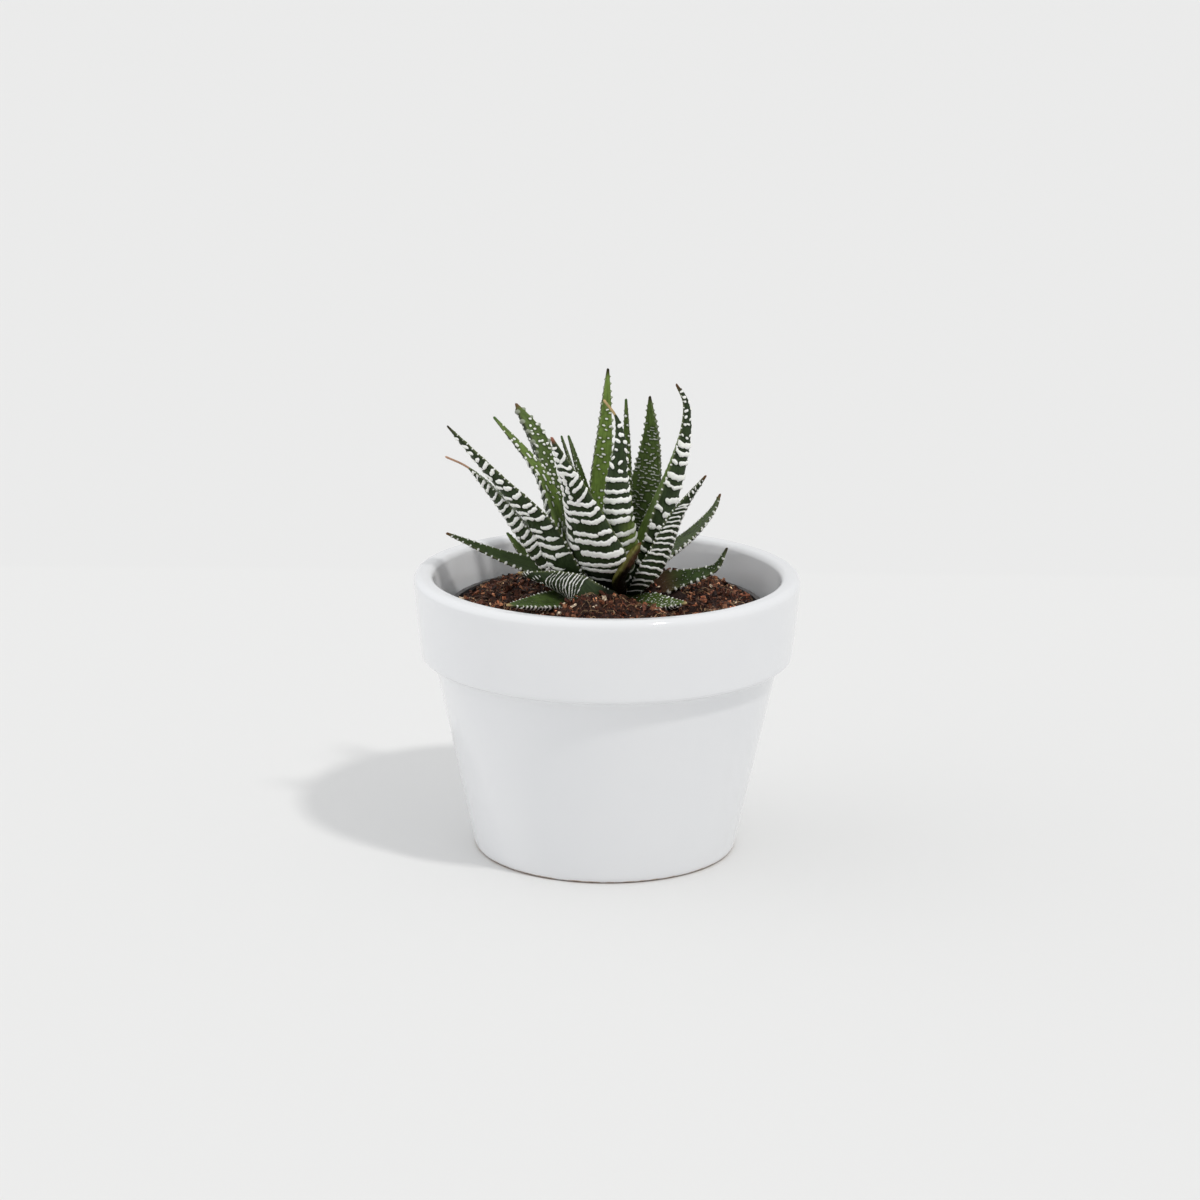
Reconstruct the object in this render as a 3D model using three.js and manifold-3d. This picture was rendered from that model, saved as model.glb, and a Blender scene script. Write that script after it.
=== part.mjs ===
// A zebra haworthia in a white glazed flowerpot.
// Millimetres, +Z up. The origin is where the pot's axis meets the table.
import * as THREE from "three";
import Module from "manifold-3d";
import { mergeVertices } from "three/addons/utils/BufferGeometryUtils.js";

const wasm = await Module();
wasm.setup();

// Driving dimensions of the flowerpot
const POT_HEIGHT = 80.6;
const RIM_RADIUS = 55;
const FOOT_RADIUS = 37.5;
const WALL_SLOPE = 0.21;
const COLLAR_BOTTOM = 56.5;
const COLLAR_BOTTOM_RADIUS = 53.1;
const COLLAR_EDGE_ROUND = 1.6;
const COLLAR_FILLET = 1.3;
const LIP_WIDTH = 5.8;
const LIP_ROUND = 2.2;
const INNER_SLOPE = 0.2;
const POT_FLOOR = 7;
const FLOOR_FILLET = 3;
const FOOT_RING_WIDTH = 5.5;
const FOOT_RECESS = 2;
const FOOT_CHAMFER = 0.8;

// Driving dimensions of the nursery pot inside it
const GROW_POT_RIM = 70.8;
const GROW_POT_WALL = 0.8;
const GROW_POT_GAP = 3.2;
const GROW_POT_BEAD = 0.6;
const GROW_POT_BEAD_HEIGHT = 1.6;
const DRAIN_HOLES = 6;
const DRAIN_HOLE_RADIUS = 3;
const DRAIN_HOLE_CIRCLE = 20;
const DRAIN_CUT_DEPTH = 4;

// Driving dimensions of the soil, the stem and the roots
const CLEARANCE = 0.3;
const SOIL_EDGE = 70;
const SOIL_HEAP = 3.2;
const SOIL_BUMP = 0.45;
// The bumps are two crossed waves: how fast each runs along X and Y, where it starts, and its share
const BROAD_WAVE = { x: 0.31, y: 0.27, start: 1, share: 1 };
const FINE_WAVE = { x: 0.63, y: 0.52, share: 0.6 };
// Where the soil is heaped: behind the plant on both sides, and against the crown in front
const MOUNDS = [
  { x: 22, y: 26, height: 2, spread: 13 },
  { x: -20, y: 22, height: 1.4, spread: 12 },
  { x: 0, y: -10, height: 3.6, spread: 5 },
  { x: -7, y: -14, height: 3, spread: 4.5 },
  { x: 13, y: 0.5, height: 4.2, spread: 2.6 },
];
const CROWN = new THREE.Vector3(2.5, 3, 0);
const STEM_TOP = 80;
const STEM_COLLAR = 72;
const STEM_BOTTOM = 58;
const STEM_RADIUS = 4.6;
const STEM_FOOT_SHARE = 0.6;
const STEM_TOP_SHARE = 0.3;
const ROOTS = 7;
const ROOT_REACH = 21;
const ROOT_DEPTH = 34;
const SHORT_ROOT_SHARE = 0.75;
const ROOT_RADIUS = 1.4;
const ROOT_TAPER = 0.6;
const ROOT_START = STEM_BOTTOM + 4;
// A root's course: its share of the reach outwards and of the depth downwards
const ROOT_COURSE = [[0, 0], [0.45, 0.12], [0.8, 0.5], [0.9, 1]];

// Proportions that all the leaves share
const SHOULDER = 0.24;
const BASE_WIDTH = 0.5;
const BASE_THICKNESS = 0.55;
const TIP_RADIUS = 0.35;
const CHANNEL = 0.22;
const MARGIN_THICKNESS = 0.2;

// How finely the turned and lofted surfaces are divided
const TURNS = 48;
const LEAF_RINGS = 10;
const OUTER_FACE_STEPS = 5;
const INNER_FACE_STEPS = 3;
const SOIL_RINGS = 8;
const STEM_SIDES = 12;
const ROOT_SIDES = 6;
const ROOT_RINGS = 6;
const HOLE_SIDES = 12;
const MERGE_DISTANCE = 1e-4;

const GLAZE = new THREE.MeshStandardMaterial({ color: 0xf2f3f4, roughness: 0.12, metalness: 0 });
const NURSERY_PLASTIC = new THREE.MeshStandardMaterial({ color: 0x2a2625, roughness: 0.5, metalness: 0 });
const SOIL = new THREE.MeshStandardMaterial({ color: 0x4a2a20, roughness: 1, metalness: 0 });
const ROOT = new THREE.MeshStandardMaterial({ color: 0xb9a583, roughness: 0.8, metalness: 0 });
const LEAF = new THREE.MeshStandardMaterial({ color: 0x3d6232, roughness: 0.45, metalness: 0 });
const WITHERED = new THREE.MeshStandardMaterial({ color: 0x6b4a2c, roughness: 0.8, metalness: 0 });

// A leaf stands in the upright plane through the crown at its bearing, in degrees from +X.
// path lists [distance out from the crown, height above the table], from the base to the tip, and a
// third number where the leaf leaves that plane sideways. roll turns its face about its own length, in
// degrees, and twist is how much more it is turned at the tip. full says how far towards the tip the
// leaf keeps its width, and thread is a dried tip's share of the length. Young leaves come first: each
// older one makes room for those inside it.
const LEAVES = [
  { name: "leaf_tallest", bearing: 113, width: 6.2, thick: 3, full: 1.7,
    path: [[2, 78], [8, 90, 0.3], [10, 102, 0.7], [9, 119], [8, 137, -0.3]] },
  { name: "leaf_young_right", bearing: 70, width: 3.4, thick: 2, full: 1.3,
    path: [[2, 78], [7, 92], [8, 112], [7, 128.5]] },
  { name: "leaf_young_left", bearing: 170, width: 3.4, thick: 1.8, full: 1.3,
    path: [[2, 77], [9, 98], [14, 113], [16, 118.5]] },
  { name: "leaf_young_front", bearing: 150, width: 5, thick: 2.2, full: 1.3,
    path: [[2, 78], [9, 99], [13, 110], [16, 117.5]] },
  { name: "leaf_front_upright", bearing: -75, width: 8.8, thick: 3.6, full: 1.5, thread: 0.09,
    path: [[2, 77, 0.2], [6, 87, -0.1], [9, 97, -1.9], [9, 109, -2.4], [8, 119, -1.3], [6.5, 126, -2.1],
      [5.5, 130.8, -5.4]] },
  { name: "leaf_back_right", bearing: 50, width: 15, thick: 3.2, full: 1.15,
    path: [[3, 76], [9, 88], [13, 104], [15, 117], [14.3, 128.5]] },
  { name: "leaf_right_tall", bearing: 13, width: 7.4, thick: 6.9, full: 1.3, roll: 6, twist: -28,
    path: [[2, 76.5], [5.6, 86], [9.5, 96], [16, 112], [18.8, 122], [19.1, 128.5], [16.9, 133.5]] },
  { name: "leaf_back_left", bearing: 138, width: 5.9, thick: 3.2, full: 6,
    path: [[4, 76], [18, 92], [25, 104], [30, 114], [39.5, 123]] },
  { name: "leaf_left_inner", bearing: 155, width: 8.6, thick: 5.6, full: 0.7, roll: -3, twist: -28,
    path: [[4, 76], [15, 86], [18.6, 95.5], [24, 106.5], [39, 121]] },
  { name: "leaf_back_upright", bearing: 85, width: 9, thick: 3.4, full: 1.6,
    path: [[4, 76], [13, 86], [20, 97], [25, 108]] },
  { name: "leaf_front_large", bearing: -121, width: 17.4, thick: 5.4, full: 0.85,
    path: [[4, 77.5], [8, 85], [13, 94], [20, 105], [35, 125]] },
  { name: "leaf_left_long", bearing: 196, width: 12.8, thick: 6.4, full: 1.1,
    path: [[4, 75], [11, 81], [20.5, 97], [33.5, 109.5], [49, 124.5]] },
  { name: "leaf_right_front", bearing: -32, width: 9, thick: 4, full: 1.2,
    path: [[5, 75], [8.5, 80], [14, 89.5], [19.5, 100], [29, 111.5]] },
  { name: "leaf_right_back", bearing: 22, width: 8, thick: 1.5, full: 1.7,
    path: [[5, 75], [12, 82], [24, 90], [30, 96], [32, 100]] },
  { name: "leaf_left_dry_tip", bearing: 186, width: 9.8, thick: 4.2, full: 2.4, thread: 0.12,
    path: [[5, 74.5], [16, 82], [24.5, 92.5], [33, 102.8], [42.3, 111], [48.3, 114]] },
  { name: "leaf_back_left_spread", bearing: 118, width: 9.5, thick: 3.6, full: 1.5,
    path: [[5, 75], [17, 83], [27, 92], [34, 101]] },
  { name: "leaf_back_right_spread", bearing: 65, width: 9.5, thick: 3.6, full: 1.5,
    path: [[5, 75], [17, 82], [27, 89], [35, 98]] },
  { name: "leaf_withered", bearing: -62, width: 3, thick: 1.2, full: 5,
    path: [[4, 74.5], [9.6, 80.4, -4.3], [11.8, 84.7, -3.3], [12, 90.8, 1.2]] },
  { name: "leaf_low_left", bearing: 172, width: 10, thick: 2, full: 0.7, roll: -26,
    path: [[6, 75], [15, 78.7], [31, 82.5], [49, 89]] },
  { name: "leaf_low_left_hooked", bearing: 150, width: 6, thick: 2.2, full: 1.4, roll: -20,
    path: [[6, 74], [20, 79], [30, 81], [36.5, 86.5]] },
  { name: "leaf_low_right", bearing: 0, width: 10.2, thick: 2.6, full: 0.75, roll: 26,
    path: [[6, 73], [14, 77], [18.4, 78.2], [24, 79.6], [28.4, 81.6], [31.5, 87]] },
  { name: "leaf_low_front_left", bearing: 205, width: 9, thick: 7, full: 1.2, roll: 26,
    path: [[5, 75.7, 7.2], [11.2, 77.8, 6.3], [15.2, 80.4, 5.3], [20.9, 82, 3.4], [30.3, 82.6, -0.1]] },
  { name: "leaf_low_back", bearing: 88, width: 8, thick: 2.8, full: 1.5,
    path: [[6, 73], [20, 77], [33, 80], [41, 85]] },
  { name: "leaf_low_back_left", bearing: 115, width: 8, thick: 2.8, full: 1.5,
    path: [[6, 73], [18, 76], [29, 79], [38, 84]] },
  { name: "leaf_low_back_right", bearing: 62, width: 8, thick: 2.8, full: 1.5,
    path: [[6, 73], [17, 76], [28, 79], [36, 84]] },
  { name: "leaf_low_front_right", bearing: -38, width: 8, thick: 3, full: 1.5, roll: 16,
    path: [[5, 74, -3.5], [10.7, 74.2, -1.8], [17.9, 73.9, -0.3], [25.1, 74.9]] },
  { name: "leaf_low_front_under", bearing: 220, width: 9.8, thick: 3.2, full: 1.5, roll: -16,
    path: [[6, 74], [14, 74.6], [25, 75.5], [32, 75.8], [39.5, 76.4]] },
];

// Solids and closed surfaces

function solidOf(geometry) {
  const plain = geometry.clone();
  plain.deleteAttribute("normal");
  plain.deleteAttribute("uv");
  const merged = mergeVertices(plain, MERGE_DISTANCE);
  return new wasm.Manifold(new wasm.Mesh({
    numProp: 3,
    vertProperties: new Float32Array(merged.attributes.position.array),
    triVerts: new Uint32Array(merged.index.array),
  }));
}

function geometryOf(solid) {
  const mesh = solid.getMesh();
  const geometry = new THREE.BufferGeometry();
  geometry.setAttribute("position", new THREE.BufferAttribute(mesh.vertProperties, 3));
  geometry.setIndex(new THREE.BufferAttribute(mesh.triVerts, 1));
  return geometry;
}

function largestPiece(solid) {
  return solid.decompose().reduce((best, piece) => (piece.volume() > best.volume() ? piece : best));
}

// A closed skin over rings of points that run from the base to the end of a leaf or root
function loft(rings, end) {
  const around = rings[0].length;
  const points = rings.flat();
  const start = points.length;
  const faces = [];
  points.push(rings[0].reduce((sum, point) => sum.add(point), new THREE.Vector3()).divideScalar(around));
  points.push(end);
  for (let j = 0; j < around; j += 1) {
    const k = (j + 1) % around;
    const last = (rings.length - 1) * around;
    faces.push(j, k, start);
    faces.push(last + k, last + j, start + 1);
    for (let i = 0; i < rings.length - 1; i += 1) {
      const low = i * around;
      const high = low + around;
      faces.push(low + j, high + j, high + k, low + j, high + k, low + k);
    }
  }
  const geometry = new THREE.BufferGeometry().setFromPoints(points);
  geometry.setIndex(faces);
  return geometry;
}

// A turned shape from [radius, height] points, about the pot's own axis
function turned(profile) {
  const points = profile.map(([radius, height]) => new THREE.Vector2(radius, height));
  return new THREE.LatheGeometry(points, TURNS).rotateX(Math.PI / 2);
}

// Points of a round edge about a centre, from one angle to another, in degrees
function arc(radius, height, round, from, to, steps) {
  return Array.from({ length: steps + 1 }, (_, i) => {
    const angle = THREE.MathUtils.degToRad(from + ((to - from) * i) / steps);
    return [radius + round * Math.cos(angle), height + round * Math.sin(angle)];
  });
}

// The flowerpot: a tapered wall on a foot ring, a deep collar and a rounded lip

const wallRadius = (height) => FOOT_RADIUS + WALL_SLOPE * height;
const mouthRadius = RIM_RADIUS - LIP_WIDTH;
const mouthHeight = POT_HEIGHT - LIP_ROUND;
const innerRadius = (height) => mouthRadius - INNER_SLOPE * (mouthHeight - height);

function flowerpot() {
  const ringInside = FOOT_RADIUS - FOOT_RING_WIDTH;
  return turned([
    [0, FOOT_RECESS],
    [ringInside - FOOT_RECESS, FOOT_RECESS],
    [ringInside, 0],
    [FOOT_RADIUS - FOOT_CHAMFER, 0],
    [wallRadius(FOOT_CHAMFER), FOOT_CHAMFER],
    [wallRadius(COLLAR_BOTTOM - COLLAR_FILLET), COLLAR_BOTTOM - COLLAR_FILLET],
    [wallRadius(COLLAR_BOTTOM) + COLLAR_FILLET, COLLAR_BOTTOM],
    ...arc(COLLAR_BOTTOM_RADIUS - COLLAR_EDGE_ROUND, COLLAR_BOTTOM + COLLAR_EDGE_ROUND,
      COLLAR_EDGE_ROUND, -90, -6, 3),
    ...arc(RIM_RADIUS - LIP_ROUND, POT_HEIGHT - LIP_ROUND, LIP_ROUND, 0, 90, 4),
    ...arc(mouthRadius + LIP_ROUND, POT_HEIGHT - LIP_ROUND, LIP_ROUND, 105, 180, 3),
    [innerRadius(POT_FLOOR + FLOOR_FILLET), POT_FLOOR + FLOOR_FILLET],
    [innerRadius(POT_FLOOR) - FLOOR_FILLET, POT_FLOOR],
    [0, POT_FLOOR],
  ]);
}

// The thin nursery pot that the plant was bought in, with holes in its floor

const growPotOutside = (height) => innerRadius(height) - GROW_POT_GAP;
const growPotInside = (height) => growPotOutside(height) - GROW_POT_WALL;
const growPotBottom = POT_FLOOR + CLEARANCE;
const growPotFloor = growPotBottom + GROW_POT_WALL;

function growPot() {
  const cornerInset = FLOOR_FILLET;
  const beadBottom = GROW_POT_RIM - GROW_POT_BEAD_HEIGHT;
  const shell = solidOf(turned([
    [0, growPotBottom],
    [growPotOutside(growPotBottom) - cornerInset, growPotBottom],
    [growPotOutside(growPotBottom + cornerInset), growPotBottom + cornerInset],
    [growPotOutside(beadBottom), beadBottom],
    [growPotOutside(beadBottom) + GROW_POT_BEAD, beadBottom],
    [growPotOutside(GROW_POT_RIM) + GROW_POT_BEAD, GROW_POT_RIM],
    [growPotInside(GROW_POT_RIM), GROW_POT_RIM],
    [growPotInside(growPotFloor + cornerInset), growPotFloor + cornerInset],
    [growPotInside(growPotFloor) - cornerInset, growPotFloor],
    [0, growPotFloor],
  ]));
  let drained = shell;
  for (let i = 0; i < DRAIN_HOLES; i += 1) {
    const angle = (2 * Math.PI * i) / DRAIN_HOLES;
    const hole = new THREE.CylinderGeometry(
      DRAIN_HOLE_RADIUS, DRAIN_HOLE_RADIUS, DRAIN_CUT_DEPTH, HOLE_SIDES,
    ).rotateX(Math.PI / 2)
      .translate(DRAIN_HOLE_CIRCLE * Math.cos(angle), DRAIN_HOLE_CIRCLE * Math.sin(angle), growPotBottom);
    drained = drained.subtract(solidOf(hole));
  }
  return drained;
}

// The leaves

const smooth = (x) => x * x * (3 - 2 * x);

// The leaf's width and thickness at a place along it, as shares of its greatest
function fullness(leaf, along, base) {
  const blade = Math.min(1, along / (1 - (leaf.thread ?? 0)));
  const swell = THREE.MathUtils.lerp(base, 1, smooth(Math.min(1, blade / SHOULDER)));
  const past = Math.max(0, (blade - SHOULDER) / (1 - SHOULDER));
  return swell * (1 - past ** leaf.full);
}

function spineOf(leaf) {
  const bearing = THREE.MathUtils.degToRad(leaf.bearing);
  const out = new THREE.Vector3(Math.cos(bearing), Math.sin(bearing), 0);
  const side = new THREE.Vector3(-Math.sin(bearing), Math.cos(bearing), 0);
  const points = leaf.path.map(([reach, height, sideways = 0]) => (
    CROWN.clone().addScaledVector(out, reach).addScaledVector(side, sideways).setZ(height)));
  return { curve: new THREE.CatmullRomCurve3(points), side };
}

// extra makes the leaf that much thicker all over, to cut room for it in its neighbours
function leafSkin(leaf, extra = 0) {
  const { curve, side } = spineOf(leaf);
  const rings = [];
  for (let i = 0; i < LEAF_RINGS; i += 1) {
    const along = i / LEAF_RINGS;
    const tangent = curve.getTangentAt(along);
    const centre = curve.getPointAt(along).addScaledVector(tangent, i === 0 ? -extra : 0);
    const across = side.clone().addScaledVector(tangent, -side.dot(tangent)).normalize();
    across.applyAxisAngle(tangent, THREE.MathUtils.degToRad((leaf.roll ?? 0) + (leaf.twist ?? 0) * along));
    const outward = across.clone().cross(tangent);
    const half = (leaf.width / 2) * fullness(leaf, along, BASE_WIDTH) + TIP_RADIUS + extra;
    const deep = leaf.thick * fullness(leaf, along, BASE_THICKNESS) + TIP_RADIUS + extra;
    const hollow = CHANNEL * (deep - extra) * (1 - along);
    const section = [];
    for (let j = 0; j <= OUTER_FACE_STEPS; j += 1) {
      const angle = (Math.PI * j) / OUTER_FACE_STEPS;
      section.push([half * Math.cos(angle), deep * Math.sin(angle)]);
    }
    for (let j = 0; j <= INNER_FACE_STEPS; j += 1) {
      const place = -1 + (2 * j) / INNER_FACE_STEPS;
      section.push([half * place, hollow * (1 - place * place) - MARGIN_THICKNESS - extra]);
    }
    const placed = ([x, y]) => centre.clone().addScaledVector(across, x).addScaledVector(outward, y);
    rings.push(section.map(placed));
  }
  const tip = curve.getPointAt(1).addScaledVector(curve.getTangentAt(1), extra);
  return loft(rings, tip);
}

// The short stem and the thick roots under it, grown as one piece

function stemAndRoots(extra = 0) {
  const stem = new THREE.LatheGeometry([
    [0, STEM_BOTTOM - extra],
    [STEM_RADIUS * STEM_FOOT_SHARE + extra, STEM_BOTTOM - extra],
    [STEM_RADIUS + extra, STEM_COLLAR],
    [STEM_RADIUS * STEM_TOP_SHARE + extra, STEM_TOP + extra],
    [0, STEM_TOP + extra],
  ].map(([radius, height]) => new THREE.Vector2(radius, height)), STEM_SIDES).rotateX(Math.PI / 2);
  let plant = solidOf(stem.translate(CROWN.x, CROWN.y, 0));
  for (let i = 0; i < ROOTS; i += 1) {
    const angle = (2 * Math.PI * i) / ROOTS;
    const out = new THREE.Vector3(Math.cos(angle), Math.sin(angle), 0);
    const depth = ROOT_DEPTH * (i % 2 ? 1 : SHORT_ROOT_SHARE);
    const curve = new THREE.CatmullRomCurve3(ROOT_COURSE.map(([reach, drop]) => (
      CROWN.clone().addScaledVector(out, ROOT_REACH * reach).setZ(ROOT_START - depth * drop))));
    const rings = [];
    for (let k = 0; k < ROOT_RINGS; k += 1) {
      const along = k / ROOT_RINGS;
      const tangent = curve.getTangentAt(along);
      const across = new THREE.Vector3(-out.y, out.x, 0);
      const outward = across.clone().cross(tangent);
      const radius = ROOT_RADIUS * (1 - ROOT_TAPER * along) + extra;
      rings.push(Array.from({ length: ROOT_SIDES }, (_, j) => {
        const turn = (2 * Math.PI * j) / ROOT_SIDES;
        return curve.getPointAt(along).addScaledVector(across, radius * Math.cos(turn))
          .addScaledVector(outward, radius * Math.sin(turn));
      }));
    }
    const end = curve.getPointAt(1);
    plant = plant.add(solidOf(loft(rings, end.setZ(end.z - extra))));
  }
  return plant;
}

// The soil: a plug that fills the nursery pot, heaped a little towards the plant

function soilTop(x, y) {
  const radius = Math.hypot(x, y) / growPotInside(SOIL_EDGE);
  const bumps = BROAD_WAVE.share * Math.sin(x * BROAD_WAVE.x + BROAD_WAVE.start) * Math.cos(y * BROAD_WAVE.y)
    + FINE_WAVE.share * Math.sin(x * FINE_WAVE.x + y * FINE_WAVE.y);
  const mounds = MOUNDS.reduce((sum, mound) => {
    const away = ((x - mound.x) ** 2 + (y - mound.y) ** 2) / (2 * mound.spread ** 2);
    return sum + mound.height * Math.exp(-away);
  }, 0);
  return SOIL_EDGE + SOIL_HEAP * (1 - radius ** 2) + SOIL_BUMP * bumps * (1 - radius ** 6) + mounds;
}

function soilPlug() {
  const rings = [];
  const side = (height) => growPotInside(height) - CLEARANCE;
  const ring = (radius, height) => Array.from({ length: TURNS }, (_, j) => {
    const angle = -(2 * Math.PI * j) / TURNS;
    const x = radius * Math.cos(angle);
    const y = radius * Math.sin(angle);
    return new THREE.Vector3(x, y, height ?? soilTop(x, y));
  });
  const bottom = growPotFloor + CLEARANCE;
  rings.push(ring(side(bottom) - FLOOR_FILLET, bottom));
  rings.push(ring(side(bottom + FLOOR_FILLET), bottom + FLOOR_FILLET));
  for (let i = 0; i < SOIL_RINGS; i += 1) {
    rings.push(ring(side(SOIL_EDGE) * (1 - i / SOIL_RINGS)));
  }
  return loft(rings, new THREE.Vector3(0, 0, soilTop(0, 0)));
}

// Fitting the plant together, from the stem outwards

const pieces = new Map();
const rooms = [];

const stem = stemAndRoots();
pieces.set("stem_and_roots", [stem, ROOT]);
rooms.push(stemAndRoots(CLEARANCE));

for (const leaf of LEAVES) {
  const room = rooms.reduce((sum, next) => sum.add(next));
  const material = leaf.name === "leaf_withered" ? WITHERED : LEAF;
  pieces.set(leaf.name, [largestPiece(solidOf(leafSkin(leaf)).subtract(room)), material]);
  rooms.push(solidOf(leafSkin(leaf, CLEARANCE)));
}

const plantRoom = rooms.reduce((sum, next) => sum.add(next));
pieces.set("soil", [largestPiece(solidOf(soilPlug()).subtract(plantRoom)), SOIL]);
pieces.set("grow_pot", [growPot(), NURSERY_PLASTIC]);
pieces.set("flowerpot", [solidOf(flowerpot()), GLAZE]);

const haworthia = new THREE.Group();
for (const [name, [solid, material]] of pieces) {
  const mesh = new THREE.Mesh(geometryOf(solid), material);
  mesh.name = name;
  haworthia.add(mesh);
}

export default haworthia;
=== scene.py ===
"""The looks of a zebra haworthia in soil in a white glazed flowerpot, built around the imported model.

Lengths are in millimetres until a mesh is made; meshes and materials are in metres.
"""

import math

import bpy
import numpy as np
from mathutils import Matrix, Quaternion, Vector


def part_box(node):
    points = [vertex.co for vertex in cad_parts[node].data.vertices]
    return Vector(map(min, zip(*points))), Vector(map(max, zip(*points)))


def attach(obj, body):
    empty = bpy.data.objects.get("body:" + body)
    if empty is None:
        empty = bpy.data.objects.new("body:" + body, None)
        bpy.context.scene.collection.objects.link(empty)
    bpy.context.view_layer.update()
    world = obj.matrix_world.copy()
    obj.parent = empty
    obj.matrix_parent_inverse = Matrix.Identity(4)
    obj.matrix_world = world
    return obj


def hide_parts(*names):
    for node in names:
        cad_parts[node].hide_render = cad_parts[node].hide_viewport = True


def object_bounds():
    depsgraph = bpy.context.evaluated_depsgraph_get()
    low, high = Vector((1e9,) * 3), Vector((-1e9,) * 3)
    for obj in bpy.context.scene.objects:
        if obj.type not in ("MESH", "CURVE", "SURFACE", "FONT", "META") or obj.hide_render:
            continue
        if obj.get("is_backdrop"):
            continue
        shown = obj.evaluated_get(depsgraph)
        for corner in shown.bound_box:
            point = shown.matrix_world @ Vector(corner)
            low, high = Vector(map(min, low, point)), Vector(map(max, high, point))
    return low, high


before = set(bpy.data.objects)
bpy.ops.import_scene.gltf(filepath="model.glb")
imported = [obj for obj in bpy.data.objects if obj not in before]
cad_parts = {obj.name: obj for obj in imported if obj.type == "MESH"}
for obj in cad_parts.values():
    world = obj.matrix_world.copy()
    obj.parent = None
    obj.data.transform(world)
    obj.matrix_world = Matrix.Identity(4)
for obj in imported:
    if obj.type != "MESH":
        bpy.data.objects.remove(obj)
cad_box = [list(corner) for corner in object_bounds()]

MM = 0.001
SEED = 33

# The photograph's view: its camera stands this far from the aim point, this high above it
AIM_HEIGHT = 60
CAMERA_DISTANCE = 940
CAMERA_ELEVATION = 15.4
CAMERA_ROLL = 0.53
PHOTO_SIDE = 1200
AIM_PIXEL = (606.6, 641.7)
FOCAL_PIXELS = 3289.4
SENSOR = 36

# The light: a steep sun from the right and front, and a room that is brightest on the left
TOWARDS_SUN = (0.47, -0.50, 1.0)
SUN_LIGHT = 0.92
SUN_SPREAD = 5
SUN_COLOUR = (1.0, 0.985, 0.96)
ROOM_LIGHT = [((-1, 0, 0), 1.38), ((1, 0, 0), 0.85), ((0, -1, 0), 0.59), ((0, 1, 0), 0.73), ((0, 0, 1), 0.76)]
ROOM_COLOUR = (0.985, 0.992, 1.0, 1.0)

# The floor's reach, and in metres the place of the faint line across it behind the pot
FLOOR_REACH = 6000
FLOOR_SEAM = 0.319
SEAM_SOFTNESS = 0.004

# The crown and the leaves' shared proportions, as in the model
CROWN = np.array([2.5, 3.0, 0.0])
SHOULDER = 0.24
BASE_WIDTH = 0.5
BASE_THICKNESS = 0.55
TIP_RADIUS = 0.35
CHANNEL = 0.22
MARGIN_THICKNESS = 0.2

# How finely a leaf is divided, along it and across its faces
RING_STEP = 0.27
OUTER_STEP = 0.3
INNER_STEP = 0.42
OUTER_ARC = 1.25
SPINE_SAMPLES = 160

# How an older leaf is pressed out by a younger one: their gap, and how deep inside it still counts
LEAF_GAP = 0.12
PRESS_DEPTH = 3
PRESS_BATCH = 4000

# The raised white marks, as high as this on a leaf with bands of the usual half width, the teeth, and
# the painted shade round the marks
MARK_HEIGHT = 0.36
USUAL_BAND = 0.5
TOOTH_HEIGHT = 0.55
TOOTH_LEAN = 0.35
TIP_FADE = 1.5
RIM_WIDTH = 0.45
MARK_SKIRT_WIDTH = 0.7
MARK_SKIRT_SHADE = 0.4
MARK_EDGE = 0.8
MARK_REACH = 4.5
FAR = 9.0

# The half width of a face below which only single marks fit on it, and what bars need
NARROW = 1.0
BARS_NEED = 1.8

# A mark's lumpy outline: the waves of its middle line and of its width, in radians per mm
WAVE_RATES = (1.9, 4.1)
LUMP_RATES = (3.1, 6.7)

# Beside each slanted bar: how far up each bead is, in pitches, and where across the face
BEADS = ((0, 0.05), (0, 0.5), (0.5, 0.12), (0.5, 0.55))
BANDED_AGAIN = (0.74, 0.85)

# What a leaf has where its own row says nothing, in the words that are explained above the rows
USUAL = dict(thread=0, roll=0, twist=0, splits=0.3, bow=0, slant=0, lift=(0.15, 0.15), blob=0.42, taper=0.25,
             dots_from=0.3, dots_to=0.96, dash=0.5, long=0, crowd=0.7, bright=0.3, pale=1.0, tooth=0.36,
             tooth_pitch=1.5, tooth_pale=0.9, lobed=0.45, barbed=0.8, husk=0, over=(), tip="brown")

# What the leaves on the far side share, which the photo doesn't show
FAR_SPREAD = dict(width=9.5, thick=3.6, full=1.5, pitch=2.6, band=0.54, banded=0.6, dots=1.9, dot=0.3,
                  tooth=0.4)
FAR_LOW = dict(width=8, thick=2.8, full=1.5, pitch=2.1, band=0.4, banded=0.5, dots=2.2, dot=0.24,
               bright=0.25)
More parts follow.
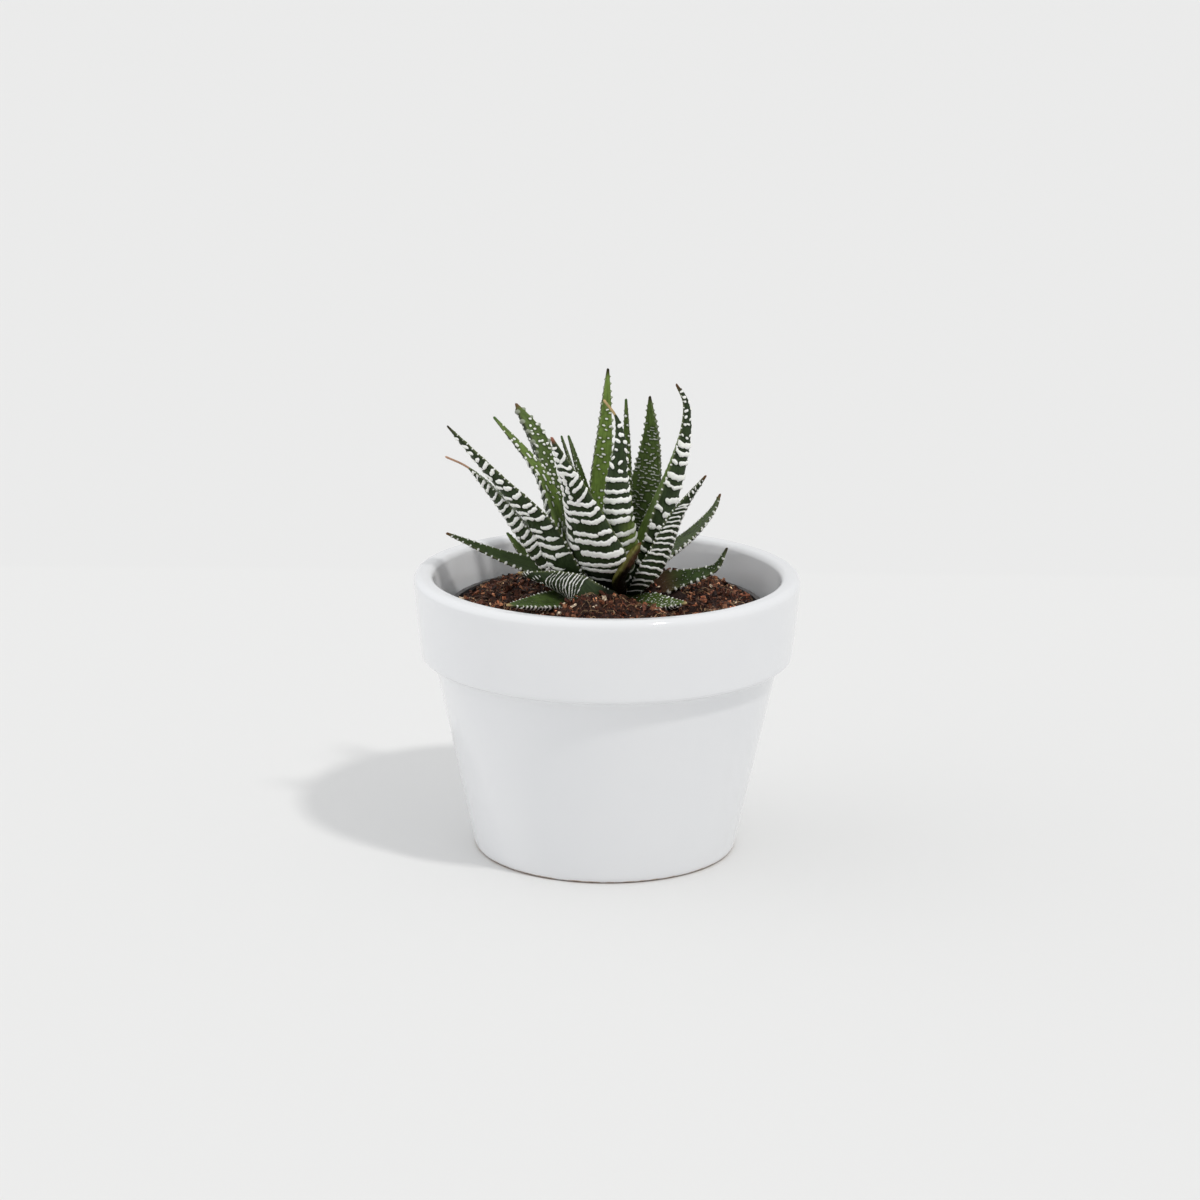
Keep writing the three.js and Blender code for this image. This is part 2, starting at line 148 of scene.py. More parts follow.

# Each leaf grows as in the model: its bearing from +X in degrees, its path from base to tip as
# [distance out, height] with a third number where it leaves its upright plane, its width and
# thickness, full (how far up it keeps its width), roll and twist in degrees, where twist grows towards
# the tip, and thread, the share of it that is a dry thread. The rest is looks, in mm or shares of the
# length.
# Outer face: pitch is the spacing of its white bands, band half their width, start where they begin,
# taper how much they close up towards the tip and banded how far up they go. splits is how often one
# is broken, and keel where across the face most are; a negative keel breaks them only there. They are
# bent by bow (mm at the margins), slant (mm per mm) and lift (shares of the pitch at each margin), as
# far across as stop. Dots of the radius blob lie above them, single ones where lean says, and bars
# puts a slanted bar into each row. glow is how far up one margin is young green.
# Inner face: dots is the spacing of its dots and dot their radius, dash how far they stretch across,
# long how far lengthwise, crowd how many there are, from dots_from to dots_to. bright says how light
# the face is, and pale how white the dots are.
# Margins: tooth is the teeth's radius, tooth_pitch their spacing, tooth_pale how white they are, lobed
# how far they stand out and barbed how little they reach over the faces.
# Whole leaf: dusk is how far up the painted shade at its base reaches, husk how far up it is dry,
# over the younger leaves that don't press it out, and tip the colour of its dry tip.
LEAVES = {
    "leaf_tallest": dict(bearing=113, width=6.2, thick=3, full=1.7,
        path=[[2, 78], [8, 90, 0.3], [10, 102, 0.7], [9, 119], [8, 137, -0.3]],
        pitch=2.4, band=0.4, banded=0.3, dots=1.75, dot=0.25, dash=1, crowd=0.8, dots_from=0.2,
        dots_to=0.86, bright=0.76, pale=0.95, tooth=0.5, tooth_pitch=2.1, tooth_pale=0.3, lobed=0.9,
        tip="dark"),
    "leaf_young_right": dict(bearing=70, width=3.4, thick=2, full=1.3,
        path=[[2, 78], [7, 92], [8, 112], [7, 128.5]],
        pitch=2, band=0.34, banded=0.1, dots=1.4, dot=0.32, crowd=0.85, bright=0.35, pale=0.9, tooth=0.3,
        tooth_pale=0.3, tip="green"),
    "leaf_young_left": dict(bearing=170, width=3.4, thick=1.8, full=1.3,
        path=[[2, 77], [9, 98], [14, 113], [16, 118.5]],
        pitch=2, band=0.26, banded=0.1, blob=0.2, dots=1.8, dot=0.2, bright=0.2, tooth=0.22, tip="green"),
    "leaf_young_front": dict(bearing=150, width=5, thick=2.2, full=1.3,
        path=[[2, 78], [9, 99], [13, 110], [16, 117.5]],
        pitch=1.7, band=0.26, banded=0.35, blob=0.22, dots=1.6, dot=0.22, bright=0.2, tooth=0.26,
        tip="green"),
    "leaf_front_upright": dict(bearing=-75, width=8.8, thick=3.6, full=1.5, thread=0.09,
        path=[[2, 77, 0.2], [6, 87, -0.1], [9, 97, -1.9], [9, 109, -2.4], [8, 119, -1.3], [6.5, 126, -2.1],
              [5.5, 130.8, -5.4]],
        pitch=3.3, band=0.74, banded=0.7, blob=0.75, taper=0.4, splits=0.1, glow=0.46, bow=-0.7,
        lift=(0.25, 0.1), dots=2, dot=0.3, bright=0.5, tooth_pitch=1.8, tip="yellow"),
    "leaf_back_right": dict(bearing=50, width=15, thick=3.2, full=1.15,
        path=[[3, 76], [9, 88], [13, 104], [15, 117], [14.3, 128.5]],
        pitch=2.2, band=0.42, banded=0.5, dots=0.9, dot=0.15, dash=3.6, crowd=0.75, dots_from=0.05,
        dots_to=0.92, bright=0.36, dusk=0.9, pale=0.8, tooth=0.55, tooth_pitch=1.7, tooth_pale=0.15,
        lobed=0.9, tip="dark"),
    "leaf_right_tall": dict(bearing=13, width=7.4, thick=6.9, full=1.3, roll=6, twist=-28,
        path=[[2, 76.5], [5.6, 86], [9.5, 96], [16, 112], [18.8, 122], [19.1, 128.5], [16.9, 133.5]],
        pitch=4.3, band=0.82, banded=0.74, blob=0.48, keel=0.7, bow=-0.6, slant=-0.15, lift=(0, 0.2),
        taper=0.75, lean=0.5, over=("leaf_back_right",), bright=0.6, tooth=0.4, tooth_pitch=1.9),
    "leaf_back_left": dict(bearing=138, width=5.9, thick=3.2, full=6,
        path=[[4, 76], [18, 92], [25, 104], [30, 114], [39.5, 123]],
        pitch=2.6, band=0.56, banded=0.6, dots=1.9, dot=0.36, dash=0.4, crowd=1, dots_from=0.1,
        dots_to=0.94, bright=0.34, pale=0.95, tooth=1.0, tooth_pitch=2.9, tooth_pale=0.25, lobed=0.8),
    "leaf_left_inner": dict(bearing=155, width=8.6, thick=5.6, full=0.7, roll=-3, twist=-28,
        path=[[4, 76], [15, 86], [18.6, 95.5], [24, 106.5], [39, 121]],
        pitch=2.9, band=0.6, banded=0.8, lift=(0.4, 0.2), dots=2.2, dot=0.24, dash=0.3, long=0.6, crowd=0.8,
        dots_from=0.15, bright=0.6, pale=0.95, tooth=0.6, tooth_pitch=2.9, lobed=0.1, tip="green"),
    "leaf_back_upright": dict(bearing=85, width=9, thick=3.4, full=1.6,
        path=[[4, 76], [13, 86], [20, 97], [25, 108]],
        pitch=2.9, band=0.6, banded=0.6, dots=1.9, dot=0.3, tooth=0.4),
    "leaf_front_large": dict(bearing=-121, width=17.4, thick=5.4, full=0.85,
        path=[[4, 77.5], [8, 85], [13, 94], [20, 105], [35, 125]],
        pitch=3.7, band=0.88, banded=0.63, blob=0.75, bars=-0.75, taper=0.5, start=5.5, keel=0.4, bow=-3.5,
        lift=(0.5, 0), dots=2.2, dot=0.3, tooth=0.22, tooth_pitch=2.2, tooth_pale=0.3, tip="pink"),
    "leaf_left_long": dict(bearing=196, width=12.8, thick=6.4, full=1.1,
        path=[[4, 75], [11, 81], [20.5, 97], [33.5, 109.5], [49, 124.5]],
        pitch=3.1, band=0.8, banded=0.62, blob=0.85, slant=0.62, keel=-0.6, stop=-0.3, lift=(0.3, 0),
        lean=-0.5, dots=2.2, dot=0.3, tooth=0.42, tooth_pitch=2, tip="dark"),
    "leaf_right_front": dict(bearing=-32, width=9, thick=4, full=1.2,
        path=[[5, 75], [8.5, 80], [14, 89.5], [19.5, 100], [29, 111.5]],
        pitch=2.05, band=0.44, banded=0.8, blob=0.4, start=3, splits=0.5, bow=-4.6, slant=0.55, lift=(0, 0),
        lean=0.5, dots=2, dot=0.25, bright=0.2),
    "leaf_right_back": dict(bearing=22, width=8, thick=1.5, full=1.7,
        path=[[5, 75], [12, 82], [24, 90], [30, 96], [32, 100]],
        pitch=1.35, band=0.26, banded=0.9, blob=0.3, dots=1.1, dot=0.1, bright=0.22, pale=0.35, tooth=0.42,
        tooth_pitch=1.7, barbed=0.35),
    "leaf_left_dry_tip": dict(bearing=186, width=9.8, thick=4.2, full=2.4, thread=0.12,
        path=[[5, 74.5], [16, 82], [24.5, 92.5], [33, 102.8], [42.3, 111], [48.3, 114]],
        pitch=2.6, band=0.56, banded=0.97, blob=0.4, start=15, lean=-0.5, lift=(0.2, 0.2), dots=2.2,
        dot=0.25, bright=0.2, tip="tan"),
    "leaf_back_left_spread": dict(FAR_SPREAD, bearing=118, path=[[5, 75], [17, 83], [27, 92], [34, 101]]),
    "leaf_back_right_spread": dict(FAR_SPREAD, bearing=65, tip="dark",
        path=[[5, 75], [17, 82], [27, 89], [35, 98]]),
    "leaf_withered": dict(bearing=-62, width=3, thick=1.2, full=5,
        path=[[4, 74.5], [9.6, 80.4, -4.3], [11.8, 84.7, -3.3], [12, 90.8, 1.2]],
        over=("leaf_front_upright", "leaf_front_large", "leaf_right_front"),
        pitch=2, band=0.3, banded=0.5, bright=0, tooth=0.12),
    "leaf_low_left": dict(bearing=172, width=10, thick=2, full=0.7, roll=-26,
        path=[[6, 75], [15, 78.7], [31, 82.5], [49, 89]],
        pitch=2.1, band=0.34, banded=0.5, bright=0.1, tooth=0.5, tooth_pitch=2.1, barbed=0.45),
    "leaf_low_left_hooked": dict(bearing=150, width=6, thick=2.2, full=1.4, roll=-20,
        path=[[6, 74], [20, 79], [30, 81], [36.5, 86.5]],
        pitch=1.9, band=0.3, banded=0.5, tooth=0.34, tooth_pitch=1.8, tip="green"),
    "leaf_low_right": dict(bearing=0, width=10.2, thick=2.6, full=0.75, roll=26,
        path=[[6, 73], [14, 77], [18.4, 78.2], [24, 79.6], [28.4, 81.6], [31.5, 87]],
        pitch=2, band=0.32, banded=0.5, dots=1.1, dot=0.14, crowd=0.6, dots_from=0.1, bright=0.08, husk=0.5,
        pale=0.5, tooth=0.5, tooth_pitch=2.1, tooth_pale=0.7, barbed=0.4, tip="dark"),
    "leaf_low_front_left": dict(bearing=205, width=9, thick=7, full=1.2, roll=26,
        path=[[5, 75.7, 7.2], [11.2, 77.8, 6.3], [15.2, 80.4, 5.3], [20.9, 82, 3.4], [30.3, 82.6, -0.1]],
        pitch=1.25, band=0.23, banded=0.72, blob=0.38, splits=0.05, taper=0.1, bow=-9, slant=-1.35, start=7,
        bright=0.22, tooth=0.26, tooth_pitch=1.2, tip="yellow"),
    "leaf_low_back": dict(FAR_LOW, bearing=88, path=[[6, 73], [20, 77], [33, 80], [41, 85]]),
    "leaf_low_back_left": dict(FAR_LOW, bearing=115, tip="tan",
        path=[[6, 73], [18, 76], [29, 79], [38, 84]]),
    "leaf_low_back_right": dict(FAR_LOW, bearing=62, path=[[6, 73], [17, 76], [28, 79], [36, 84]]),
    "leaf_low_front_right": dict(bearing=-38, width=8, thick=3, full=1.5, roll=16,
        path=[[5, 74, -3.5], [10.7, 74.2, -1.8], [17.9, 73.9, -0.3], [25.1, 74.9]],
        pitch=1.3, band=0.25, banded=0.9, dots=0.95, dot=0.19, crowd=0.95, dots_from=0.15, bright=0.42,
        pale=0.8, tooth=0.42, tooth_pitch=1.4, barbed=0.5, tip="yellow"),
    "leaf_low_front_under": dict(bearing=220, width=9.8, thick=3.2, full=1.5, roll=-16,
        path=[[6, 74], [14, 74.6], [25, 75.5], [32, 75.8], [39.5, 76.4]],
        pitch=1.4, band=0.28, banded=0.9, dots=1.2, dot=0.1, crowd=0.6, bright=0.2, dusk=0.8, pale=0.4,
        tooth=0.4, barbed=0.5, tip="yellow"),
}

# The leaves' linear colours, and the near black green of the painted shade at their bases
OUTER_GREEN = np.array([0.032, 0.050, 0.020])
INNER_GREEN = np.array([0.024, 0.042, 0.014])
BRIGHT_GREEN = np.array([0.200, 0.300, 0.062])
YOUNG_GREEN = np.array([0.150, 0.210, 0.045])
SHADED_BASE_GREEN = np.array([0.012, 0.024, 0.009])
RIM_GREEN = np.array([0.150, 0.170, 0.075])
RIM_OLIVE = np.array([0.130, 0.125, 0.030])
HUSK_BROWN = np.array([0.085, 0.045, 0.028])
WITHERED_BROWN = np.array([0.045, 0.020, 0.009])
TIP_COLOURS = {
    "green": np.array([0.060, 0.110, 0.030]),
    "dark": np.array([0.035, 0.028, 0.014]),
    "brown": np.array([0.120, 0.060, 0.025]),
    "tan": np.array([0.480, 0.290, 0.190]),
    "pink": np.array([0.300, 0.120, 0.080]),
    "yellow": np.array([0.520, 0.380, 0.190]),
}

# How much white the marks lose in young green, in the painted shade at a leaf's base, in the painted shade of
# the crown's heart and on a husk
GLOW_LOSS = 0.45
BASE_SHADE_LOSS = 0.7
CROWN_SHADE_LOSS = 0.55
HUSK_LOSS = 0.8

# The painted shade at a leaf's base, less where it is young green, and the painted shade in the heart of the
# crown
BASE_SHADE = 0.6
YOUNG_SHADE = 0.3
CROWN_SHADE_CENTRE = np.array([3.5, -5, 76])
CROWN_REACH = 12
CROWN_SOFTNESS = 8
CROWN_SHADE = 0.8

# The two ends of each other material's linear colour, between which it varies
MARK_WHITES = (0.97, 0.97, 0.94), (0.88, 0.89, 0.83)
GLAZE_WHITES = (0.79, 0.80, 0.82), (0.84, 0.845, 0.855)
PINHOLE_BROWN = (0.30, 0.26, 0.22, 1.0)
FOOT_CLAYS = (0.26, 0.15, 0.09), (0.55, 0.42, 0.30)
PLASTIC_BLACKS = (0.030, 0.028, 0.028), (0.062, 0.056, 0.054)
ROOT_BROWNS = (0.30, 0.22, 0.12), (0.62, 0.52, 0.36)
FLOOR_GREYS = (0.80, 0.80, 0.795), (0.79, 0.79, 0.786)


# Helpers for smooth curves and noise

def smooth(x):
    x = np.clip(x, 0, 1)
    return x * x * (3 - 2 * x)


def unit(v):
    return v / np.linalg.norm(v, axis=-1, keepdims=True)


class ValueNoise:
    """Smooth repeatable noise over the plane, between -1 and 1."""

    def __init__(self, seed, side=256):
        self.side = side
        self.grid = np.random.default_rng(seed).uniform(-1, 1, (side, side))

    def __call__(self, x, y):
        i, j = np.floor(x).astype(int), np.floor(y).astype(int)
        u, v = smooth(x - i), smooth(y - j)
        corner = lambda a, b: self.grid[(i + a) % self.side, (j + b) % self.side]
        low = corner(0, 0) * (1 - u) + corner(1, 0) * u
        high = corner(0, 1) * (1 - u) + corner(1, 1) * u
        return low * (1 - v) + high * v


def catmull_rom(points, per_span=40):
    """Dense points of a centripetal curve through the given ones."""
    p = np.vstack([2 * points[0] - points[1], points, 2 * points[-1] - points[-2]])
    out = []
    for k in range(1, len(p) - 2):
        d0, d1, d2 = (math.sqrt(np.linalg.norm(p[k + n] - p[k + n - 1])) for n in (0, 1, 2))
        m1 = (p[k] - p[k - 1]) / d0 - (p[k + 1] - p[k - 1]) / (d0 + d1) + (p[k + 1] - p[k]) / d1
        m2 = (p[k + 1] - p[k]) / d1 - (p[k + 2] - p[k]) / (d1 + d2) + (p[k + 2] - p[k + 1]) / d2
        t = np.linspace(0, 1, per_span, endpoint=False)[:, None]
        out.append((2 * t**3 - 3 * t**2 + 1) * p[k] + (t**3 - 2 * t**2 + t) * m1 * d1
                   + (3 * t**2 - 2 * t**3) * p[k + 1] + (t**3 - t**2) * m2 * d1)
    out.append(p[-2:-1])
    return np.vstack(out)


# Mesh making

def linked(name, data):
    """A new object in the scene."""
    piece = bpy.data.objects.new(name, data)
    bpy.context.scene.collection.objects.link(piece)
    return piece


def new_piece(name, points, faces, material, smooth_shading=True):
    mesh = bpy.data.meshes.new(name)
    mesh.from_pydata((np.asarray(points) * MM).tolist(), [], faces)
    mesh.validate()
    if smooth_shading:
        mesh.polygons.foreach_set("use_smooth", np.ones(len(mesh.polygons), bool))
    mesh.materials.append(material)
    return linked(name, mesh)


def add_values(piece, name, values):
    layer = piece.data.attributes.new(name, "FLOAT", "POINT")
    layer.data.foreach_set("value", np.asarray(values, np.float32).ravel())


def add_colours(piece, name, colours):
    layer = piece.data.color_attributes.new(name, "FLOAT_COLOR", "POINT")
    rgba = np.ones((len(colours), 4), np.float32)
    rgba[:, :3] = colours
    layer.data.foreach_set("color", rgba.ravel())


def add_plane_coordinates(piece, name, pairs):
    layer = piece.data.uv_layers.new(name=name)
    corner = np.zeros(len(piece.data.loops), int)
    piece.data.loops.foreach_get("vertex_index", corner)
    layer.data.foreach_set("uv", np.asarray(pairs, np.float32)[corner].ravel())


def ring_faces(rings, turns, flipped=False):
    """Quads between closed rings of vertices that follow one another."""
    faces = []
    for i in range(rings - 1):
        for j in range(turns):
            here, beside = i * turns + j, i * turns + (j + 1) % turns
            if flipped:
                faces.append((here, beside, beside + turns, here + turns))
            else:
                faces.append((here, here + turns, beside + turns, beside))
    return faces


def fan_faces(first, turns, centre, flipped=False):
    """Triangles from a closed ring of vertices to the one in its centre."""
    pairs = [(first + j, first + (j + 1) % turns) for j in range(turns)]
    return [(b, a, centre) if flipped else (a, b, centre) for a, b in pairs]


# Materials

class Nodes:
    """Short names for making and joining the shader nodes of a material or a world."""

    def __init__(self, owner, shader="Principled BSDF"):
        owner.use_nodes = True
        self.owner = owner
        self.tree = owner.node_tree
        self.shader = self.tree.nodes[shader]

    def add(self, kind, inputs=(), **settings):
        node = self.tree.nodes.new("ShaderNode" + kind)
        for key, value in settings.items():
            setattr(node, key, value)
        for key, value in dict(inputs).items():
            self.put(node.inputs[key], value)
        return node

    def put(self, socket, value):
        if isinstance(value, bpy.types.NodeSocket):
            self.tree.links.new(value, socket)
        else:
            socket.default_value = value

    def set(self, **inputs):
        for key, value in inputs.items():
            self.put(self.shader.inputs[key.replace("_", " ")], value)

    def attribute(self, name, output="Fac"):
        return self.add("Attribute", attribute_name=name).outputs[output]

    def place(self):
        return self.add("TexCoord").outputs["Object"]

    def noise(self, vector, scale, detail=3.0, roughness=0.55):
        inputs = {"Vector": vector, "Scale": scale, "Detail": detail, "Roughness": roughness}
        return self.add("TexNoise", inputs).outputs["Fac"]

    def remap(self, value, low, high, to_low=0.0, to_high=1.0):
        inputs = {"Value": value, "From Min": low, "From Max": high, "To Min": to_low, "To Max": to_high}
        return self.add("MapRange", inputs, clamp=True).outputs["Result"]

    def math(self, operation, *values):
        return self.add("Math", enumerate(values), operation=operation).outputs[0]

    def mix(self, factor, a, b, blend_type="MIX"):
        """Mixes colours, which a mix node has as its inputs 6 and 7 and its output 2."""
        inputs = {"Factor": factor, 6: a, 7: b}
        return self.add("Mix", inputs, data_type="RGBA", blend_type=blend_type).outputs[2]

    def between(self, factor, ends):
        return self.mix(factor, (*ends[0], 1.0), (*ends[1], 1.0))

    def multiplied(self, colour, shade):
        grey = self.add("CombineColor", {0: shade, 1: shade, 2: shade}).outputs[0]
        return self.mix(1.0, colour, grey, "MULTIPLY")

    def bumped(self, height, distance, strength, **under):
        inputs = {"Height": height, "Distance": distance, "Strength": strength, **under}
        self.set(Normal=self.add("Bump", inputs).outputs["Normal"])


def leaf_material(name, veins=0.25):
    """Green tissue with fine lengthwise veins, raised white marks and a dried tip."""
    n = Nodes(bpy.data.materials.new(name))
    place = n.place()
    plane = n.add("UVMap", uv_map="leaf_plane").outputs["UV"]
    drawn_out = n.add("Mapping", {"Vector": plane, "Scale": (1.9, 0.16, 1.0)}).outputs["Vector"]
    streaks = n.noise(drawn_out, 1.0, detail=4.0)
    clouds = n.remap(n.noise(place, 260.0), 0.3, 0.7, -0.22, 0.22)
    shade = n.math("ADD", n.remap(streaks, 0.3, 0.7, 1 - veins, 1 + veins), clouds)
    tissue = n.multiplied(n.attribute("tint", "Color"), shade)
    white = n.between(n.remap(n.noise(place, 900.0, detail=4.0), 0.35, 0.7), MARK_WHITES)
    mark = n.math("MULTIPLY", n.remap(n.attribute("mark"), 0.43, 0.57), n.attribute("pale"))
    n.set(Base_Color=n.mix(mark, tissue, white))
    drier = n.remap(n.attribute("dry"), 0, 1, 0.0, 0.25)
    n.set(Roughness=n.math("ADD", n.remap(mark, 0, 1, 0.38, 0.5), drier), Specular_IOR_Level=0.12)
    n.set(Subsurface_Weight=0.05, Subsurface_Scale=0.0008, Subsurface_Radius=(0.8, 1.0, 0.6))
    veined = n.add("Bump", {"Height": streaks, "Distance": 0.00012, "Strength": 0.5}).outputs["Normal"]
    n.bumped(n.noise(place, 5200.0, detail=2.0), distance=0.00004, strength=0.5, Normal=veined)
    return n.owner


def glaze_material():
    """White glaze, a little uneven, with pinholes and a bare brown line at the foot."""
    n = Nodes(bpy.data.materials.new("white_glaze"))
    place = n.place()
    white = n.between(n.noise(place, 26.0), GLAZE_WHITES)
    specks = n.add("TexVoronoi", {"Vector": place, "Scale": 150.0}).outputs["Distance"]
    rare = n.remap(n.noise(place, 60.0, detail=1.0), 0.70, 0.72)
    pinholes = n.math("MULTIPLY", n.math("MULTIPLY", n.remap(specks, 0.035, 0.06, 1, 0), rare), 0.5)
    speckled = n.mix(pinholes, white, PINHOLE_BROWN)
    height = n.add("SeparateXYZ", {"Vector": place}).outputs["Z"]
    ragged = n.math("ADD", height, n.remap(n.noise(place, 420.0), 0, 1, -0.0006, 0.0006))
    bare = n.remap(ragged, 0.0003, 0.0007, 1, 0)
    n.set(Base_Color=n.mix(bare, speckled, n.between(n.noise(place, 700.0), FOOT_CLAYS)))
    n.set(Roughness=n.remap(bare, 0, 1, 0.09, 0.75), Coat_Weight=0.35, Coat_Roughness=0.04)
    n.bumped(n.noise(place, 95.0, detail=2.0), distance=0.00016, strength=0.35)
    return n.owner


def plastic_material():
    n = Nodes(bpy.data.materials.new("nursery_plastic"))
    place = n.place()
    n.set(Base_Color=n.between(n.noise(place, 180.0), PLASTIC_BLACKS))
    n.set(Roughness=n.remap(n.noise(place, 600.0), 0.3, 0.7, 0.32, 0.5))
    n.bumped(n.noise(place, 1500.0, detail=2.0), distance=0.00005, strength=0.5)
    return n.owner


def root_material():
    n = Nodes(bpy.data.materials.new("root_skin"))
    place = n.place()
    n.set(Base_Color=n.between(n.noise(place, 500.0), ROOT_BROWNS), Roughness=0.8)
    n.bumped(n.noise(place, 900.0), distance=0.0003, strength=0.6)
    return n.owner


def soil_material():
    """Damp coir: each crumb has its own tint, with finer grain over it whose tone follows its height, as
    painted shade and light.
    """
    n = Nodes(bpy.data.materials.new("coir_soil"))
    place = n.place()
    fine = n.noise(place, 1400.0, detail=5.0, roughness=0.7)
    # The grain's tone follows its bump height: painted shade in its hollows and painted light on its crests
    n.set(Base_Color=n.multiplied(n.attribute("tint", "Color"), n.remap(fine, 0.34, 0.68, 0.12, 2.2)))
    n.set(Roughness=n.remap(n.noise(place, 2300.0), 0.3, 0.7, 0.4, 0.9), Specular_IOR_Level=0.25)
    n.bumped(fine, distance=0.0004, strength=0.8)
    return n.owner


# Leaves

def fullness(leaf, along, base):
    """The leaf's width or thickness along its length, as a share of its greatest."""
    blade = np.minimum(1, along / (1 - leaf["thread"]))
    swell = base + (1 - base) * smooth(blade / SHOULDER)
    past = np.maximum(0, (blade - SHOULDER) / (1 - SHOULDER))
    return swell * (1 - past ** leaf["full"])


def spine_of(leaf, count):
    """The leaf's centreline and its frame at evenly spaced places: across it, and out of its back."""
    bearing = math.radians(leaf["bearing"])
    out = np.array([math.cos(bearing), math.sin(bearing), 0])
    side = np.array([-math.sin(bearing), math.cos(bearing), 0])
    up = np.array([0, 0, 1])
    path = [(*place, 0)[:3] for place in leaf["path"]]
    points = np.array([CROWN + out * reach + side * aside + up * height for reach, height, aside in path])
    dense = catmull_rom(points)
    run = np.concatenate([[0], np.cumsum(np.linalg.norm(np.diff(dense, axis=0), axis=1))])
    along = np.linspace(0, 1, count)
    centre = np.stack([np.interp(along * run[-1], run, dense[:, k]) for k in range(3)], 1)
    tangent = unit(np.gradient(centre, axis=0))
    across = unit(side - (tangent @ side)[:, None] * tangent)
    outward = np.cross(across, tangent)
    turn = np.radians(leaf["roll"] + leaf["twist"] * along)[:, None]
    across, outward = (across * np.cos(turn) - outward * np.sin(turn),
                       outward * np.cos(turn) + across * np.sin(turn))
    half = leaf["width"] / 2 * fullness(leaf, along, BASE_WIDTH) + TIP_RADIUS
    deep = leaf["thick"] * fullness(leaf, along, BASE_THICKNESS) + TIP_RADIUS
    hollow = CHANNEL * deep * (1 - along)
    return dict(length=run[-1], along=along, centre=centre, tangent=tangent, across=across,
                outward=outward, half=half, deep=deep, hollow=hollow)


def skin_of(leaf):
    """The leaf's smooth skin: its spine, its points ring by ring, and how many a ring has outside."""
    length = spine_of(leaf, 12)["length"]
    s = spine_of(leaf, int(length / RING_STEP))
    outer = int(OUTER_ARC * leaf["width"] / OUTER_STEP)
    inner = int(leaf["width"] / INNER_STEP)
    angle = np.linspace(0, math.pi, outer + 1)
    place = np.linspace(-1, 1, inner + 1)
    x = s["half"][:, None] * np.concatenate([np.cos(angle), place])
    y_outer = s["deep"][:, None] * np.sin(angle)
    y_inner = s["hollow"][:, None] * (1 - place**2) - MARGIN_THICKNESS
    y = np.concatenate([y_outer, y_inner], 1)
    points = s["centre"][:, None] + x[..., None] * s["across"][:, None] + y[..., None] * s["outward"][:, None]
    return s, points, outer + 1


def make_room(points, s):
    """Presses a leaf's points out to the back of a younger leaf, of spine s, that they would run into."""
    flat = points.reshape(-1, 3)
    reach = s["half"].max() + 2
    low, high = s["centre"].min(0) - reach, s["centre"].max(0) + reach
    near = np.nonzero(((flat > low) & (flat < high)).all(1))[0]
    if not len(near):
        return points
    p = flat[near]
    nearest = np.empty(len(p), int)
    for start in range(0, len(p), PRESS_BATCH):
        batch = slice(start, start + PRESS_BATCH)
        nearest[batch] = ((p[batch, None] - s["centre"][None]) ** 2).sum(2).argmin(1)
    rel = p - s["centre"][nearest]
    x = (rel * s["across"][nearest]).sum(1)
    y = (rel * s["outward"][nearest]).sum(1)
    half = s["half"][nearest] + LEAF_GAP
    inside = (np.abs(x) < half) & (y > -s["deep"][nearest] - PRESS_DEPTH)
    inside &= (nearest > 0) & (nearest < len(s["half"]) - 1)
    back = s["deep"][nearest] * np.sqrt(np.clip(1 - (x / half) ** 2, 0, 1)) + LEAF_GAP
    push = np.where(inside, np.maximum(0, back - y), 0)
    flat[near] = p + push[:, None] * s["outward"][nearest]
    return flat.reshape(points.shape)


def measure(leaf, s, points, outer):
    """Distances over the skin, along it, from the middle of each face and from each margin."""
    gap = lambda block: np.linalg.norm(np.diff(block, axis=1), axis=2)
    zero = np.zeros((len(points), 1))
    back = np.concatenate([zero, np.cumsum(gap(points[:, :outer]), 1)], 1)
    front = np.concatenate([zero, np.cumsum(gap(points[:, outer:]), 1)], 1)
    q_outer, q_inner = back - back[:, -1:] / 2, front - front[:, -1:] / 2
    return dict(run=s["along"] * s["length"], blade=s["length"] * (1 - leaf["thread"]),
                q=np.concatenate([q_outer, q_inner], 1), q_outer=q_outer, q_inner=q_inner,
                outer_edge=np.maximum(q_outer[:, -1], 0.3), inner_edge=np.maximum(s["half"], 0.3),
                first=np.concatenate([back, front[:, -1:] - front], 1),
                second=np.concatenate([back[:, -1:] - back, front], 1))


def mark_at(at, low, high, radius, **shape):
    """A raised mark: a bar across the leaf from low to high, or a dot where they are the same."""
    plain = dict(tilt=0, bow=0, slant=0, lift=(0, 0), stop=1, wave=0, phase=0, long=0)
    return dict(plain, at=at, low=low, high=high, radius=radius, **shape)


def distance_to(mark, s, q, edge):
    """Distance from places on a face, s along it and q across it, to a mark with a lumpy outline."""
    phase = mark["phase"]
    share = q / edge
    right, left = mark["lift"]
    flat = np.minimum(share, mark["stop"])
    rise = mark["tilt"] * (q - (mark["low"] + mark["high"]) / 2) + mark["bow"] * flat**2
    rise = rise + mark["slant"] * flat * edge
    wave = np.sin(WAVE_RATES[0] * q + phase) + 0.5 * np.sin(WAVE_RATES[1] * q + 1.9 * phase)
    rise = rise + mark["wave"] * wave
    rise = rise + right * smooth((-share - 0.5) / 0.5) + left * smooth((share - 0.5) / 0.5)
    lumps = 1 + 0.12 * np.sin(LUMP_RATES[0] * q + phase) + 0.09 * np.sin(LUMP_RATES[1] * q + 2.3 * phase)
    past = np.maximum(0, np.maximum(mark["low"] - q, q - mark["high"]))
    off = np.maximum(0, np.abs(s - mark["at"] - rise) - mark["long"])
    return np.hypot(past, off) - mark["radius"] * lumps


